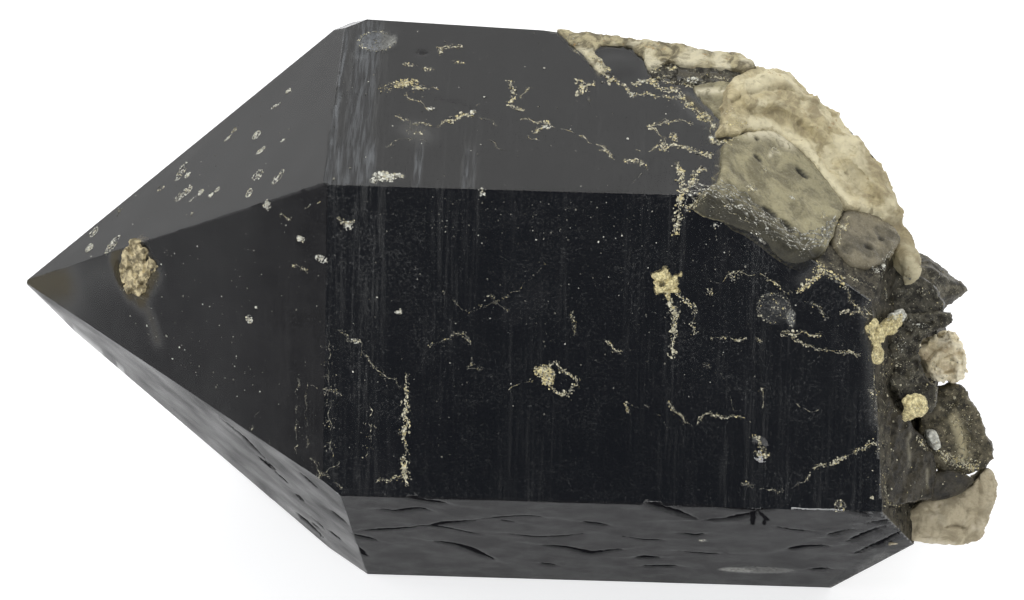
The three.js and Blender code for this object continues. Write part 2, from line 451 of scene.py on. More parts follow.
@dataclass(frozen=True)
class SmokyGlass:
    """Smoky quartz: clear glass with a dark body, ribbed on the prism, under a thin dusty film.

    Args:
        name: the material's name.
        absorbed: how strongly each of red, green and blue is absorbed, per millimetre.
        polish: roughness of the cleanest parts.
        film_colour, stain_and_glow_colour: the colours of the dusty film and of the warm tint, which at the
            tip is a painted glow of light through the thin tip.
        ripple: depth of the growth lines, in millimetres.
    """

    name: str
    absorbed: Triple = (0.8, 0.84, 0.95)
    polish: float = 0.03
    film_colour: Triple = (0.29, 0.29, 0.275)
    stain_and_glow_colour: Triple = (0.14, 0.115, 0.06)
    ripple: float = 0.03

    def cover(self, graph: Graph, where: Sock, hills: Sock, grit: Sock) -> Sock:
        """How much of the body the dust, streaks, frosting, glow and rubble hide."""
        stripes = graph.noise(graph.where(1, 0.04, 0.04), 0.35, 4, 0.65).above(0.45, 0.68)
        bands = graph.noise(graph.where(1, 0.05, 0.05), 2.4, 3, 0.6).above(0.4, 0.65)
        streaks = graph.noise(graph.where(1, 0.08, 0.08), 0.35, 3, 0.65).above(0.42, 0.64)
        patches = graph.noise(where, 5, 4, 0.65).above(0.38, 0.68)
        dots = graph.noise(where, 0.2, 2, 0.6).above(0.62, 0.72)
        dust = stripes * bands * 0.05 + patches * grit.above(0.48, 0.72) * 0.08 + dots * 0.16
        return (
            graph.layer("film") * (0.01 + dust)
            + graph.layer("streaked") * (0.03 + streaks * 0.38)
            + graph.layer("haze") * (0.35 + grit.above(0.3, 0.7) * 0.65)
            + graph.layer("stain_and_glow") * (0.45 + hills * 0.45)
            + graph.layer("broken") * 0.85
        )

    def paint(self, graph: Graph) -> None:
        """Builds the material's nodes.

        Attributes of the piece: ribbed is the share of growth lines, broken the share of rough
        break, film the share of dust, streaked the share of bright streaks, haze the share of
        frosting, dark the share of painted shade inside cracks and pits, painted_shade the share of
        a dull dark skin, which is painted shade that dims the glass's reflections, and
        stain_and_glow the share of warm tint, which at the tip is a painted glow of light shining
        through the thin tip.
        """
        where, rough = graph.where(), graph.layer("broken")
        lines = graph.noise(graph.where(1, 0.06, 0.06), 0.7, 3, 0.6)
        hills = graph.noise(where, 3, 3, 0.5)
        grit = graph.noise(where, 0.3, 3, 0.6)
        height = lines * graph.layer("ribbed") * 0.8 + hills * 0.25 + grit * rough * 1.3
        normal = graph.bump(height, 0.8, self.ripple)
        glass = graph.principled(
            Base_Color=(1, 1, 1), Roughness=self.polish + rough * 0.22, IOR=QUARTZ_IOR,
            Transmission_Weight=1.0, Normal=normal,
        )
        # skin is painted shade: a dull dark coat over the glass that dims its reflections on the lower
        # front face and the point faces.
        skin = graph.principled(Base_Color=(0.012, 0.012, 0.013), Roughness=0.8, Specular_IOR_Level=0)
        mottled = graph.noise(where, 3.5, 4, 0.6).above(0.3, 0.7)
        body = graph.mix(graph.layer("painted_shade") * (0.94 + mottled * 0.12), glass, skin)
        crumbly = graph.noise(where, 1.1, 5, 0.7).above(0.35, 0.65)
        rubble = graph.blend(crumbly, BLACK, (0.085, 0.075, 0.052))
        sparkle = graph.blend(grit.above(0.6, 0.72), rubble, (0.26, 0.24, 0.17))
        frost = graph.layer("haze").above(0.05, 0.5)
        dusty = graph.blend(rough, graph.blend(frost, self.film_colour, (0.42, 0.42, 0.38)), sparkle)
        # Bright pale streaks across the top face lighten the covered colour.
        streak_mask = graph.layer("streaked").above(0.1, 0.5)
        with_streaks = graph.blend(streak_mask, dusty, (0.29, 0.305, 0.315))
        # The warm tint at the tip is painted light, a glow of light shining through the thin tip; elsewhere
        # it is a warm stain.
        tint = graph.blend(graph.layer("stain_and_glow").above(0.1, 0.4), with_streaks, self.stain_and_glow_colour)
        dull = graph.principled(Base_Color=tint, Roughness=0.6, Specular_IOR_Level=0.12, Normal=normal )
        # hole is painted shade: a near-black coat inside cracks and pits, where shade falls.
        hole = graph.principled(Base_Color=(0.007, 0.007, 0.008), Roughness=0.8, Specular_IOR_Level=0)
        covered = graph.mix(self.cover(graph, where, hills, grit), body, dull)
        with_recess_shade = graph.mix(graph.layer("dark").above(0.2, 0.55) * 0.96, covered, hole)
        most = max(self.absorbed)
        passed = tuple(1.0 - value / most for value in self.absorbed)
        inputs = {"Color": passed, "Density": most / MM}
        volume = graph.node("ShaderNodeVolumeAbsorption", {}, inputs)
        graph.end("Material", Surface=with_recess_shade, Volume=volume)


@dataclass(frozen=True)
class CloudyQuartz:
    """Grey-brown quartz that is cloudy with tiny flaws.

    Args:
        name: the material's name.
        light, dark, speck_and_glint: its palest and smokiest colours, and that of its pale flecks, which
            are partly pale grains and partly painted glints of tiny facets.
        flecks, size: how many flecks it has, and the width of its clouds.
        gloss, shine: roughness of its smoothest parts, and how much it mirrors.
        relief: depth of its fine roughness, in millimetres.
    """

    name: str
    light: Triple = (0.32, 0.288, 0.172)
    dark: Triple = (0.165, 0.147, 0.088)
    speck_and_glint: Triple = (0.58, 0.53, 0.38)
    flecks: float = 0.25
    size: float = 3.2
    gloss: float = 0.24
    shine: float = 0.16
    relief: float = 0.18

    def paint(self, graph: Graph) -> None:
        """Builds the material's nodes; the attribute dark is the share of painted shade in holes and along
        shaded rims, and of plain darker patches, and light of cream.
        """
        where = graph.where()
        clouds = graph.noise(where, self.size, 5, 0.65, 0.6)
        specks = graph.noise(where, 0.3, 3, 0.7)
        crumbs = graph.noise(where, 0.8, 5, 0.75)
        veil = graph.noise(where, 0.9, 4, 0.6, 1)
        colour = graph.blend(clouds.above(0.38, 0.62), self.dark, self.light)
        for share, tint in (
            ((1 - crumbs.above(0.36, 0.47)) * self.flecks, BLACK),
            # Pale specks: partly pale grains, partly painted glints on tiny facets.
            (crumbs.above(0.56, 0.68) * self.flecks * 0.55, self.speck_and_glint),
            (specks.above(0.6, 0.7) * self.flecks, self.speck_and_glint),
            (graph.layer("light") * veil.above(0.3, 0.55), self.speck_and_glint),
            # dark: painted shade in holes and along shaded rims, plus plain darker patches
            (graph.layer("dark") * 0.92, (0.012, 0.012, 0.01)),
        ):
            colour = graph.blend(share, colour, tint)
        height = clouds * 0.4 + specks * 0.3 + veil * 0.2 + crumbs * self.flecks
        shader = graph.principled(
            Base_Color=colour, Roughness=self.gloss + specks.above(0.4, 0.7) * 0.2, IOR=QUARTZ_IOR,
            Specular_IOR_Level=self.shine, Normal=graph.bump(height, 0.8, self.relief),
        )
        graph.end("Material", Surface=shader)


@dataclass(frozen=True)
class Feldspar:
    """Cream feldspar with cloudy patches, brown stains and a crumbly surface.

    Args:
        name: the material's name.
        cream, pale, dull: its main colour, and its freshest and greyer patches.
        stain, stained: the iron stain in its hollows, and how much of it there is.
    """

    name: str
    cream: Triple = (0.53, 0.455, 0.265)
    pale: Triple = (0.74, 0.67, 0.45)
    dull: Triple = (0.33, 0.275, 0.16)
    stain: Triple = (0.33, 0.2, 0.075)
    stained: float = 0.5

    def paint(self, graph: Graph) -> None:
        """Builds the material's nodes; the attribute dark is the share of painted shade in creases and
        cracks, and of plain darker patches, and light of pale band.
        """
        where = graph.where()
        clouds = graph.noise(where, 1.9, 6, 0.68, 0.9)
        patches = graph.noise(where, 4.5, 4, 0.6, 0.5)
        grain = graph.noise(where, 0.28, 4, 0.7)
        flakes = graph.noise(graph.where(0.45, 0.8, 1.2), 0.8, 5, 0.7, 0.5)
        spots = graph.noise(where, 0.8, 3, 0.6).above(0.64, 0.72)
        colour = graph.blend(clouds.above(0.4, 0.6), self.dull, self.cream)
        for share, tint in (
            (grain.above(0.52, 0.7) * 0.4, self.dull),
            (patches.above(0.49, 0.62) * 0.7, self.pale),
            (graph.layer("light") * 0.9, self.pale),
            (flakes.above(0.53, 0.64) * 0.45, self.dull),
            (spots * self.stained, self.stain),
            # dark: painted shade in creases and cracks, plus plain darker patches
            (graph.layer("dark") * 0.8, (0.13, 0.1, 0.05)),
        ):
            colour = graph.blend(share, colour, tint)
        shader = graph.principled(
            Base_Color=colour, Roughness=0.5 + grain * 0.3, IOR=1.53, Specular_IOR_Level=0.3,
            Normal=graph.bump(grain * 0.4 + clouds * 0.5 + flakes * 0.6, 1, 0.35),
        )
        graph.end("Material", Surface=shader)


@dataclass(frozen=True)
class Crumbs:
    """Grains of crust and vein filling.

    Args:
        name: the material's name.
        light, dark: the brightest and the dullest grains.
        size, gaps: the width of the colour patches, and how dark the gaps are.
    """

    name: str
    light: Triple
    dark: Triple
    size: float = 0.7
    gaps: float = 0.5

    def paint(self, graph: Graph) -> None:
        """Builds the material's nodes."""
        where = graph.where()
        patches = graph.noise(where, self.size, 4, 0.65)
        grain = graph.noise(where, 0.12, 3, 0.6)
        crumbs = graph.cells(where, self.size * 0.6).above(0.35, 0.7)
        mixed = graph.blend(patches.above(0.38, 0.6), self.dark, self.light)
        shade = tuple(value * 0.3 for value in self.dark)
        shader = graph.principled(
            Base_Color=graph.blend(crumbs * self.gaps, mixed, shade), Roughness=0.55 + grain * 0.25,
            IOR=1.5, Normal=graph.bump(grain + patches, 0.8, 0.06),
        )
        graph.end("Material", Surface=shader)


@dataclass(frozen=True)
class StudioPaper:
    """The plain pale floor, which glows a little like a light table.

    Args:
        name: the material's name.
        shade, glow: how pale it is, and its own light.
    """

    name: str
    shade: float = 0.62
    glow: float = 0.62

    def paint(self, graph: Graph) -> None:
        """Builds the material's nodes."""
        shader = graph.principled(
            Base_Color=(self.shade,) * 3, Roughness=0.9, Specular_IOR_Level=0.1,
            Emission_Color=(1, 1, 1), Emission_Strength=self.glow,
        )
        graph.end("Material", Surface=shader)


class Finish(Enum):
    """Every finish on the piece."""

    SMOKY = SmokyGlass("smoky_quartz")
    PALE = CloudyQuartz("pale_quartz")
    SECOND = CloudyQuartz("grey_quartz", (0.2, 0.175, 0.118), (0.1, 0.088, 0.06), size=2.4)
    OLIVE = CloudyQuartz(
        "olive_quartz", (0.13, 0.117, 0.083), (0.035, 0.032, 0.023), (0.42, 0.39, 0.28), 0.7, 1.2, 0.3
    )
    KNOB = CloudyQuartz(
        "knob_quartz", (0.13, 0.113, 0.073), (0.04, 0.035, 0.022), (0.42, 0.37, 0.23), 0.9, 1.3, 0.32
    )
    BROWN = CloudyQuartz(
        "brown_quartz", (0.05, 0.043, 0.029), (0.016, 0.014, 0.01), (0.17, 0.155, 0.11), 0.45, 1.8, 0.26
    )
    BLACK = CloudyQuartz(
        "black_quartz", (0.09, 0.083, 0.061), (0.022, 0.02, 0.015), (0.36, 0.33, 0.24), 0.8, 1.2, 0.3
    )
    FELDSPAR = Feldspar("cream_feldspar")
    LUMP = Feldspar(
        "pinkish_feldspar", (0.84, 0.74, 0.5), (0.93, 0.86, 0.66), (0.56, 0.46, 0.29), stained=0.4
    )
    BLOCK = Feldspar(
        "grey_feldspar", (0.5, 0.43, 0.29), (0.64, 0.57, 0.42), (0.33, 0.28, 0.18), stained=0.25
    )
    RIDGE = Feldspar(
        "ridge_feldspar", (0.46, 0.4, 0.24), (0.72, 0.66, 0.47), (0.13, 0.11, 0.065), stained=0.8
    )
    CREAM = Crumbs("cream_grains", (0.76, 0.71, 0.52), (0.36, 0.33, 0.22), 0.5, 0.4)
    GOLD = Crumbs("golden_grains", (0.8, 0.7, 0.38), (0.46, 0.385, 0.19), 0.45, 0.5)
    CRUST = Crumbs("golden_crust", (0.63, 0.53, 0.31), (0.15, 0.12, 0.06), 0.9, 0.35)
    WHITE = Crumbs("white_grains", (0.78, 0.77, 0.67), (0.36, 0.35, 0.29), 0.6, 0.3)
    PAPER = StudioPaper("studio_paper")
    DIM = Crumbs("dim_grains", (0.23, 0.222, 0.18), (0.1, 0.094, 0.074), 0.5)


_MADE: dict[Finish, bpy.types.Material] = {}


def material_of(finish: Finish) -> bpy.types.Material:
    """The material of a finish, made once."""
    if finish not in _MADE:
        material = bpy.data.materials.new(finish.value.name)
        material.use_nodes = True
        finish.value.paint(Graph(material.node_tree))
        _MADE[finish] = material
    return _MADE[finish]


# -------- surface damage


def line_distance(at: Places, points: Line) -> tuple[Array, Array, Array]:
    """Distance, side and progress of each place from a line.

    Args:
        at: places along and across a surface.
        points: the line's corners.

    Returns:
        The distance to the line, the signed distance, positive to its left, and how far
        along the line the nearest place is, from 0 to 1.
    """
    along, across = at
    best = np.full(along.shape, 1e9)
    side, progress = np.zeros(along.shape), np.zeros(along.shape)
    total = sum(math.dist(first, last) for first, last in zip(points, points[1:]))
    passed = 0.0
    for (a0, b0), (a1, b1) in zip(points, points[1:]):
        da, db = a1 - a0, b1 - b0
        length = math.hypot(da, db)
        part = np.clip(((along - a0) * da + (across - b0) * db) / length**2, 0.0, 1.0)
        gap = np.hypot(along - a0 - part * da, across - b0 - part * db)
        left = ((across - b0) * da - (along - a0) * db) / length
        closer = gap < best
        best = np.where(closer, gap, best)
        side = np.where(closer, left, side)
        progress = np.where(closer, (passed + part * length) / total, progress)
        passed += length
    return best, side, progress


@dataclass(frozen=True)
class Groove:
    """An open crack: a narrow groove with one lip standing higher.

    Args:
        surface, points: what it is on, and its corners along and across that.
        depth, width: how deep it is, and its half width.
        lip, reach: how far its left side stands up, and how far that fades over.
        dark: how black it is inside, which is painted shade in the recess.
    """

    surface: Surface
    points: Line
    depth: float = 0.2
    width: float = 0.4
    lip: float = 0.08
    reach: float = 2.5
    dark: float = 0.0

    def _inside(self, at: Places) -> Array:
        """1 in the middle of the crack and 0 outside it; it is widest half way along."""
        gap, _, progress = line_distance(at, self.points)
        ragged = 1.0 + 0.16 * np.sin(at[0] * 4.3 + progress * 17.0) + 0.14 * np.sin(at[0] * 1.9)
        return hump(gap / (self.width * (0.3 + 2.8 * progress * (1.0 - progress)) * ragged))

    def height(self, at: Places) -> Array:
        """The height that the crack adds at each place."""
        gap, side, _ = line_distance(at, self.points)
        lip = self.lip * np.exp(-gap / self.reach) * (side > 0)
        return -self.depth * self._inside(at) + lip

    def shade(self, at: Places) -> Array:
        """How black the crack is at each place, as painted shade."""
        return self.dark * self._inside(at)


@dataclass(frozen=True)
class Oval:
    """An oval place on a surface.

    Args:
        surface: what it is on.
        along, across: its place on the surface.
        radii: its half length and half width.
        turn: how far its long side is turned, in degrees.
    """

    surface: Surface
    along: float
    across: float
    radii: Point
    turn: float = 0.0

    def spot(self, one: float, two: float) -> Point:
        """The place at some shares of the half length and half width from the middle."""
        turn = math.radians(self.turn)
        x, y = one * self.radii[0], two * self.radii[1]
        along = self.along + x * math.cos(turn) - y * math.sin(turn)
        return along, self.across + x * math.sin(turn) + y * math.cos(turn)

    def spread(self, at: Places) -> Array:
        """How far each place is from the middle: 0 there, and 1 at the edge."""
        turn = math.radians(self.turn)
        x, y = at[0] - self.along, at[1] - self.across
        one = x * math.cos(turn) + y * math.sin(turn)
        two = -x * math.sin(turn) + y * math.cos(turn)
        return np.hypot(one / self.radii[0], two / self.radii[1])


@dataclass(frozen=True)
class Pit(Oval):
    """A bowl-shaped hollow.

    Args:
        depth: how deep it is.
        dark, haze: how black and how frosted it is inside; the black is painted shade in a pit, and a plain
            darker patch where the pit is broad and shallow.
        rim: the height of the rim round it.
    """

    depth: float = 0.0
    dark: float = 0.0
    haze: float = 0.0
    rim: float = 0.0

    def height(self, at: Places) -> Array:
        """The height that the pit adds at each place."""
        spread = self.spread(at)
        bowl = -self.depth * (1.0 - smooth_rise(spread, 0.35, 1.0))
        return bowl + self.rim * hump((spread - 1.05) / 0.18)

    def shade(self, at: Places) -> Array:
        """How black the pit is at each place: painted shade in a pit, a plain darker patch where it is
        broad and shallow.
        """
        return self.dark * (1.0 - smooth_rise(self.spread(at), 0.6, 1.1))

    def frost(self, at: Places) -> Array:
        """How frosted the pit is at each place."""
        return self.haze * (1.0 - smooth_rise(self.spread(at), 0.8, 1.1))


@dataclass(frozen=True)
class TintBand:
    """A band of tint along a line. It is a warm stain or a pale band, except at the very tip, where the
    warm band is a painted glow of light through the thin tip.

    Args:
        surface, points: what it is on, and its corners along and across that.
        width, amount: its half width, and how strong it is.
    """

    surface: Surface
    points: Line
    width: float
    amount: float = 1.0

    def glow(self, at: Places) -> Array:
        """How strong the band is at each place."""
        return self.amount * hump(line_distance(at, self.points)[0] / self.width)


# Warm tints. The first two bands, at the tip, are a painted glow of light through the thin tip, and the
# rest are warm stains round crusts and patches.
TINTS_AND_TIP_GLOW: tuple[TintBand, ...] = (
    TintBand(TIP_FRONT, ((0, 0), (6, 0.6)), 3.2, 0.42),
    TintBand(TIP_FRONT, ((5, 0.6), (12, 2.4), (16, 3.6)), 2.6, 0.1),
    TintBand(TIP_FRONT, ((15, 6.4), (14.4, 4.6), (15.4, 2.6), (17, 1)), 0.8, 0.5),
    TintBand(TIP_FRONT, ((20.6, 4), (19.4, 2.2), (18.6, 0.6)), 1, 0.5),
    TintBand(TIP_FRONT, ((18.6, 1.4), (20.4, -1.4), (21.2, -3.4)), 0.8, 0.26),
    TintBand(FRONT, ((33.2, 9), (35.1, 10.6), (37, 10)), 0.7, 0.25),
    TintBand(FRONT, ((40.6, 6), (41.4, 1), (42, -6)), 1, 0.3),
    TintBand(TOP, ((-9.9, -5), (-8.6, -6.2)), 1.3, 0.22),
    TintBand(TOP, ((24.4, 4.6), (25.4, 0.4), (24.6, -3.6)), 1, 0.6),
    TintBand(TOP, ((16.6, 6.6), (20, 5.6), (25, 5.6)), 1.1, 0.4),
    TintBand(TOP, ((20, 1.6), (22.4, -1.6)), 0.9, 0.4),
)


HAIRLINE, CRACK = (0.1, 0.3, 0.04, 0.8), (0.2, 0.4, 0.05, 0.85)
GAP, SPLIT = (0.28, 0.55, 0.08, 1.0), (0.4, 0.4, 0.14, 0.8)
SCRATCH = (0.06, 0.18, 0.03, 0.36)


def pits(surface: Surface, *rows: tuple[float, ...]) -> list[Pit]:
    """Pits, each given by its place, half sizes, turn, depth, blackness, frosting and rim."""
    return [Pit(surface, *row[:2], row[2:4], *row[4:]) for row in rows]


def cracks(surface: Surface, kind: tuple[float, ...], *lines: Line) -> list[Groove]:
    """Cracks of one kind, which is their depth, half width, lip and blackness."""
    *sizes, dark = kind
    return [Groove(surface, line, *sizes, dark=dark) for line in lines]


# Cracks and pits of the big crystal; their black is painted shade in the recesses.
MARKS: tuple[Groove | Pit, ...] = (
    *cracks(LOWER_FRONT, CRACK, ((-15.2, 0.8), (-11.3, 1.8), (-7.6, 3.5)),
        ((-12.2, 10.5), (-10.6, 9.8), (-7.8, 11.5), (-6.5, 10.3)), ((-15.9, -1.2), (-13.4, -3.5)),
        ((-15.8, -7), (-14.9, -11.5)), ((4.5, 16.7), (6.4, 15.6)),
        ((22.4, 17), (26, 15.2), (29.6, 15), (33, 16.4)), ((10, 7.4), (12.9, 6.3)),
        ((5, -12.1), (6.9, -12.8)), ((21, 3.7), (22.7, 2.9), (23.7, 3.9)), ((16.4, -12.2), (21, -11.6)),
        ((35.8, -11.4), (38.2, -11)), ((28.8, 13.7), (28.9, 8))),
    *cracks(LOWER_FRONT, GAP, ((-7.6, 3.5), (-5.3, 5.1), (-2.2, 6.8)),
        ((-9.4, 16.6), (-7.6, 15), (-4.7, 13.8)),
        ((-6.7, -3.2), (-4.5, -4.3), (-2.9, -6.4), (-0.4, -10.8)),
        ((5.5, -3.4), (8.5, -4.6), (10.8, -6.7), (14.2, -4.4)), ((16, -8), (18.5, -7.6)),
        ((33.2, -2.4), (35, -0.9), (37.4, 0))),
    *cracks(LOWER_FRONT, HAIRLINE, ((0.9, 7.2), (2.6, 6.4)),
        ((-2.2, 6.8), (0.4, 8.4), (3.6, 9.4), (6.2, 9)), ((-9, 4.4), (-5.4, 3.2), (-2.6, 1.2), (-1, 0.6)),
        ((1, 1.4), (4.6, 0.2), (8, 0.8), (10.4, 2.4)), ((14.6, 1.4), (17, 0.2), (20, 0.6)),
        ((20.6, -4.6), (24, -5.4), (26.4, -5)), ((31, 8), (33.4, 6.6), (36, 6.4)),
        ((29.2, 15), (30.4, 10.6), (29.8, 7.4))),
    *cracks(LOWER_FRONT, SPLIT, ((41.3, 10.8), (45, 12.8)), ((41, -2.8), (44.7, 5.4)),
        ((42.8, -0.7), (45.7, 8.6)), ((37.4, 4.6), (39.8, 7.9)), ((38.7, 15.9), (41.7, 13.8)),
        ((39.8, 2.4), (43.4, 9.7))),
    *cracks(TIP_LOWER, CRACK, ((36, 3.6), (37.3, 1.7)), ((42, -9.8), (43, -11.3))),
    *cracks(TIP_LOWER, GAP, ((30.6, 8.4), (33, 7.6), (35.9, 4.8))),
    *cracks(TOP, SCRATCH, ((14.4, -13.2), (15.5, -11.4), (16.8, -8.3)),
        ((-19.5, -1.6), (-17.4, -0.2), (-15.4, 0.6)), ((-19.6, -9.5), (-18.4, -8.6), (-17.4, -8.3)),
        ((-8.6, 0.4), (-5, -0.6), (-2.4, -1.6))),
    Groove(LOWER_FRONT, ((13.4, 23), (16, 18.5), (18.6, 14.6), (22.6, 10.6)), 0.55, 0.75, 0.15, dark=0.9),
    Groove(LOWER_FRONT, ((23, 9.8), (26.1, 10.6), (28.6, 12.8), (29.4, 14.8)), 0.5, 0.55, 0.15, dark=1),
    Groove(TIP_LOWER, ((36, -17.6), (39.6, -15.4), (42.5, -17)), 0.3, 0.9, 0.05, dark=0.65),
    Groove(FRONT, ((-6.4, 8.2), (-4.6, 5.6), (-2.9, 4.2)), 0.05, 0.4, 0.03, 3, dark=0.4),
    Groove(FRONT, ((-2.9, 4.2), (0.9, 6), (4.2, 8.6), (6.2, 10.2)), 0.06, 0.3, -0.06, 5, dark=0.3),
    *pits(TOP, (-14.6, 9.5, 2.3, 1.75, 8, 0.2, 0, 0.34, 0.04), (-14.9, 9.3, 1.2, 0.7, 8, 0.05, 0.25),
        (-12.8, 9.6, 0.45, 1.1, -20, 0, 0, 0.22), (-16.3, 7, 0.9, 0.6, 0, 0.12, 0, 0.1, 0.02),
        (-9.4, 7.9, 1.1, 0.6, 10, 0.1, 0.36), (-9.2, -5.4, 1.3, 1, 0, 0.05, 0, 0.06),
        (12.2, 6.6, 2.9, 2.3, 0, -0.12)),
    *pits(TIP_FRONT, (17.4, 4.4, 3.2, 3, 25, 0.3), (19.4, 1.7, 0.5, 0.5, 0, 0.1, 0, 0.2, 0.1)),
    *pits(FRONT, (30.1, 5.9, 1.9, 1.7, 0, 0, 0, 0.1), (30.5, 6.1, 0.9, 0.8, 0, 0, 0, 0.09),
        (32, 4.9, 0.5, 1, 0, 0.05, 0, 0.4), (29.2, -9.8, 1.1, 1.6, 20, 0.35),
        (3.2, 5.4, 3.3, 1.5, 40, 0, 0, 0.02)),
    *pits(TIP_LOWER, (35.8, 1.7, 1.5, 0.8, -35, 0.1, 0.62), (38.1, 0.5, 1.3, 0.7, -30, 0.1, 0.58),
        (40.4, -3.4, 0.8, 1.4, 0, 0.1, 0.5), (43, 11.2, 1.8, 0.7, -30, 0.1, 0.55),
        (45.1, -10, 1.2, 0.7, 0, 0.1, 0.6), (41.8, -13.6, 0.9, 0.7, 0, 0.1, 0.5),
        (46.6, 3, 1.6, 0.8, -20, 0.1, 0.45)),
    *pits(LOWER_FRONT, (30, -12.4, 4.6, 1.7, 3, -0.1, 0, 0.3), (27.4, -12.6, 2, 1.1, 3, 0, 0, 0.25),
        (43, -7, 1, 5.5, -14, 0, 0, 0.2), (23.5, 0.6, 0.5, 0.7, 0, 0, 0, 0.3)),
)

# -------- big crystal


@dataclass
class MainCrystal:
    """The big dark crystal.

    Args:
        step: distance between the rings of vertices.
        front_lines, back_lines: lines along the front and top side, and along the other.
        wear, wear_width: how far the edges are worn in, and how far that reaches.
        split: the way the well divided side looks round the axis, in degrees.
    """

    step: float = 0.42
    front_lines: int = 236
    back_lines: int = 60
    wear: float = 0.004
    wear_width: float = 0.2
    split: float = 25.0

    def _block(self, surfaces: Sequence[Surface]) -> Shape:
        """A large block cut down by all surfaces."""
        bm = bmesh.new()
        bmesh.ops.create_cube(bm, size=200.0)
        for surface in surfaces:
            cut_away(bm, surface.foot, surface.normal)
        bmesh.ops.recalc_face_normals(bm, faces=bm.faces)
        return bm

    def _net(self, bm: Shape) -> None:
        """Draws the fine net of lines on the crystal."""
        start = min(vertex.co.x for vertex in bm.verts)
        reach = max(vertex.co.x for vertex in bm.verts)
        count = int((reach - start) / self.step)
        rings = [(Vector((start + (i + 0.5) * self.step, 0, 0)), ALONG) for i in range(count)]
        divide(bm, bm.faces[:], rings)
        middle = math.radians(self.split)
        towards = Vector((0, -math.cos(middle), math.sin(middle)))
        divide(bm, bm.faces[:], [(AXIS, towards)])
        for lines, side in ((self.front_lines, 1), (self.back_lines, -1)):
            half = [f for f in bm.faces if (f.calc_center_median() - AXIS).dot(towards) * side > 0]
            turns = [middle + math.pi * (index / lines - 0.5) for index in range(1, lines)]
            fan = [(AXIS, Vector((0, math.sin(turn), math.cos(turn))) * side) for turn in turns]
            divide(bm, half, fan[::side])
        bmesh.ops.triangulate(bm, faces=[f for f in bm.faces if len(f.verts) > 4])
        bmesh.ops.recalc_face_normals(bm, faces=bm.faces)

    def _by_face(self, points: Array, nearest: Array) -> Iterator[tuple[int, Surface, Array, Places]]:
        """Each natural face's number and surface, which points it has, and their places on it."""
        for number, surface in enumerate(NATURAL_FACES):
            on_face = nearest == number
            if on_face.any():
                yield number, surface, on_face, surface.coordinates(points[on_face])

    def _heights(self, points: Array, nearest: Array, gap: Array) -> Array:
        """How far each vertex is moved out along its face.

        Args:
            points: the vertices.
            nearest: the number of the surface that each one is on.
            gap: how far each one is from the next surface.

        Returns:
            The height of each vertex, in millimetres.
        """
        ragged = ruffle(points, 1.1, 3, 5)
        width = self.wear_width * (1.0 + 1.3 * np.clip(ragged, -0.5, 1.0))
        edge = np.clip(1.0 - gap / width, 0.0, 1.0) ** 2
        height = -self.wear * edge * (1.0 + 2.5 * np.clip(ragged, 0.0, 1.0))
        inside = smooth_rise(gap, 0.2, 2.0)
        height += 0.035 * ruffle(points, 9.0, 2, 2) * inside
        ribs = ruffle(points * np.array([1.0, 0.05, 0.05]), 1.5, 3, 8)
        for number, surface, on_face, at in self._by_face(points, nearest):
            if number < PRISM_FACES:
                height[on_face] += 0.025 * ribs[on_face] * inside[on_face]
            for mark in MARKS:
                if mark.surface is surface:
                    height[on_face] += mark.height(at)
        for number, surface in enumerate(BREAKS + WORN, start=len(NATURAL_FACES)):
            on_break = nearest == number
            there = points[on_break]
            stepped = chips(there, 1.9, 4, (0.7, 1, 0.6)) * 0.7 + chips(there, 0.9, 9, (0.7, 1, 0.6)) * 0.3
            uneven = ruffle(there, 3.0, 4, 21) * 0.7 + stepped * 0.45
            depth = smooth_rise(gap[on_break], 0.0, 0.9)
            height[on_break] += surface.rough * (uneven - 0.45) * depth
        return height

    def _film(self, points: Array, nearest: Array) -> Array:
        """How much film each vertex has; on the front face it rises with height and towards both ends, so
        that face is darker towards the bottom.
        """
        x, _, z = points.T
        film = np.full(len(points), 0.7)
        film[nearest == 0] = 0.6
        for amount in (
            0.3 * smooth_rise(z, 14.0, 34.0) - 0.3,
            0.4 * smooth_rise(z, 34.0, 56.0),
            0.5 * (1.0 - smooth_rise(x, -14.0, -4.0)),
            0.4 * smooth_rise(x, 18.0, 34.0),
        ):
            film += np.where(nearest == 1, amount, 0.0)
        film[nearest == 2] = 0.6
        film[nearest >= PRISM_FACES] = 0.5
        return film

    def _streaks(self, points: Array, nearest: Array) -> Array:
        """How strong the bright streaks on the top face are at each vertex."""
        x, y, _ = points.T
        streaked = np.zeros(len(points))
        for place, half_width, amount in (
            (-18.6, 0.9, 0.9), (-17.2, 0.3, 0.5), (-15.4, 1.7, 0.5), (-13.6, 0.5, 0.6),
            (-8.5, 0.3, 0.9), (-3.4, 0.25, 0.9), (-2.6, 0.22, 0.7),
        ):
            low_part = 1.0 if half_width > 0.5 else 1.0 - smooth_rise(y, -10.0, -6.0)
            streaked += amount * hump((x - place) / half_width, 4) * low_part
        return np.where(nearest == 0, streaked, 0.0)

    def _painted_shade_share(self, points: Array, nearest: Array) -> Array:
        """How much painted shade each vertex has: a dull dark skin over the glass that dims its
        reflections.
        """
        painted_shade = np.zeros(len(points))
        painted_shade[nearest == 2] = 0.76
        painted_shade[nearest == 6] = 0.2
        tip, lower = nearest == 7, nearest == 8
        x = points[tip, 0]
        painted_shade[tip] = 0.48 + 0.22 * smooth_rise(x, -49.0, -36.0) + 0.2 * smooth_rise(x, -32.0, -19.0)
        painted_shade[lower] = 0.58 + 0.2 * ruffle(points[lower], 5.0, 3, 31)
        return painted_shade

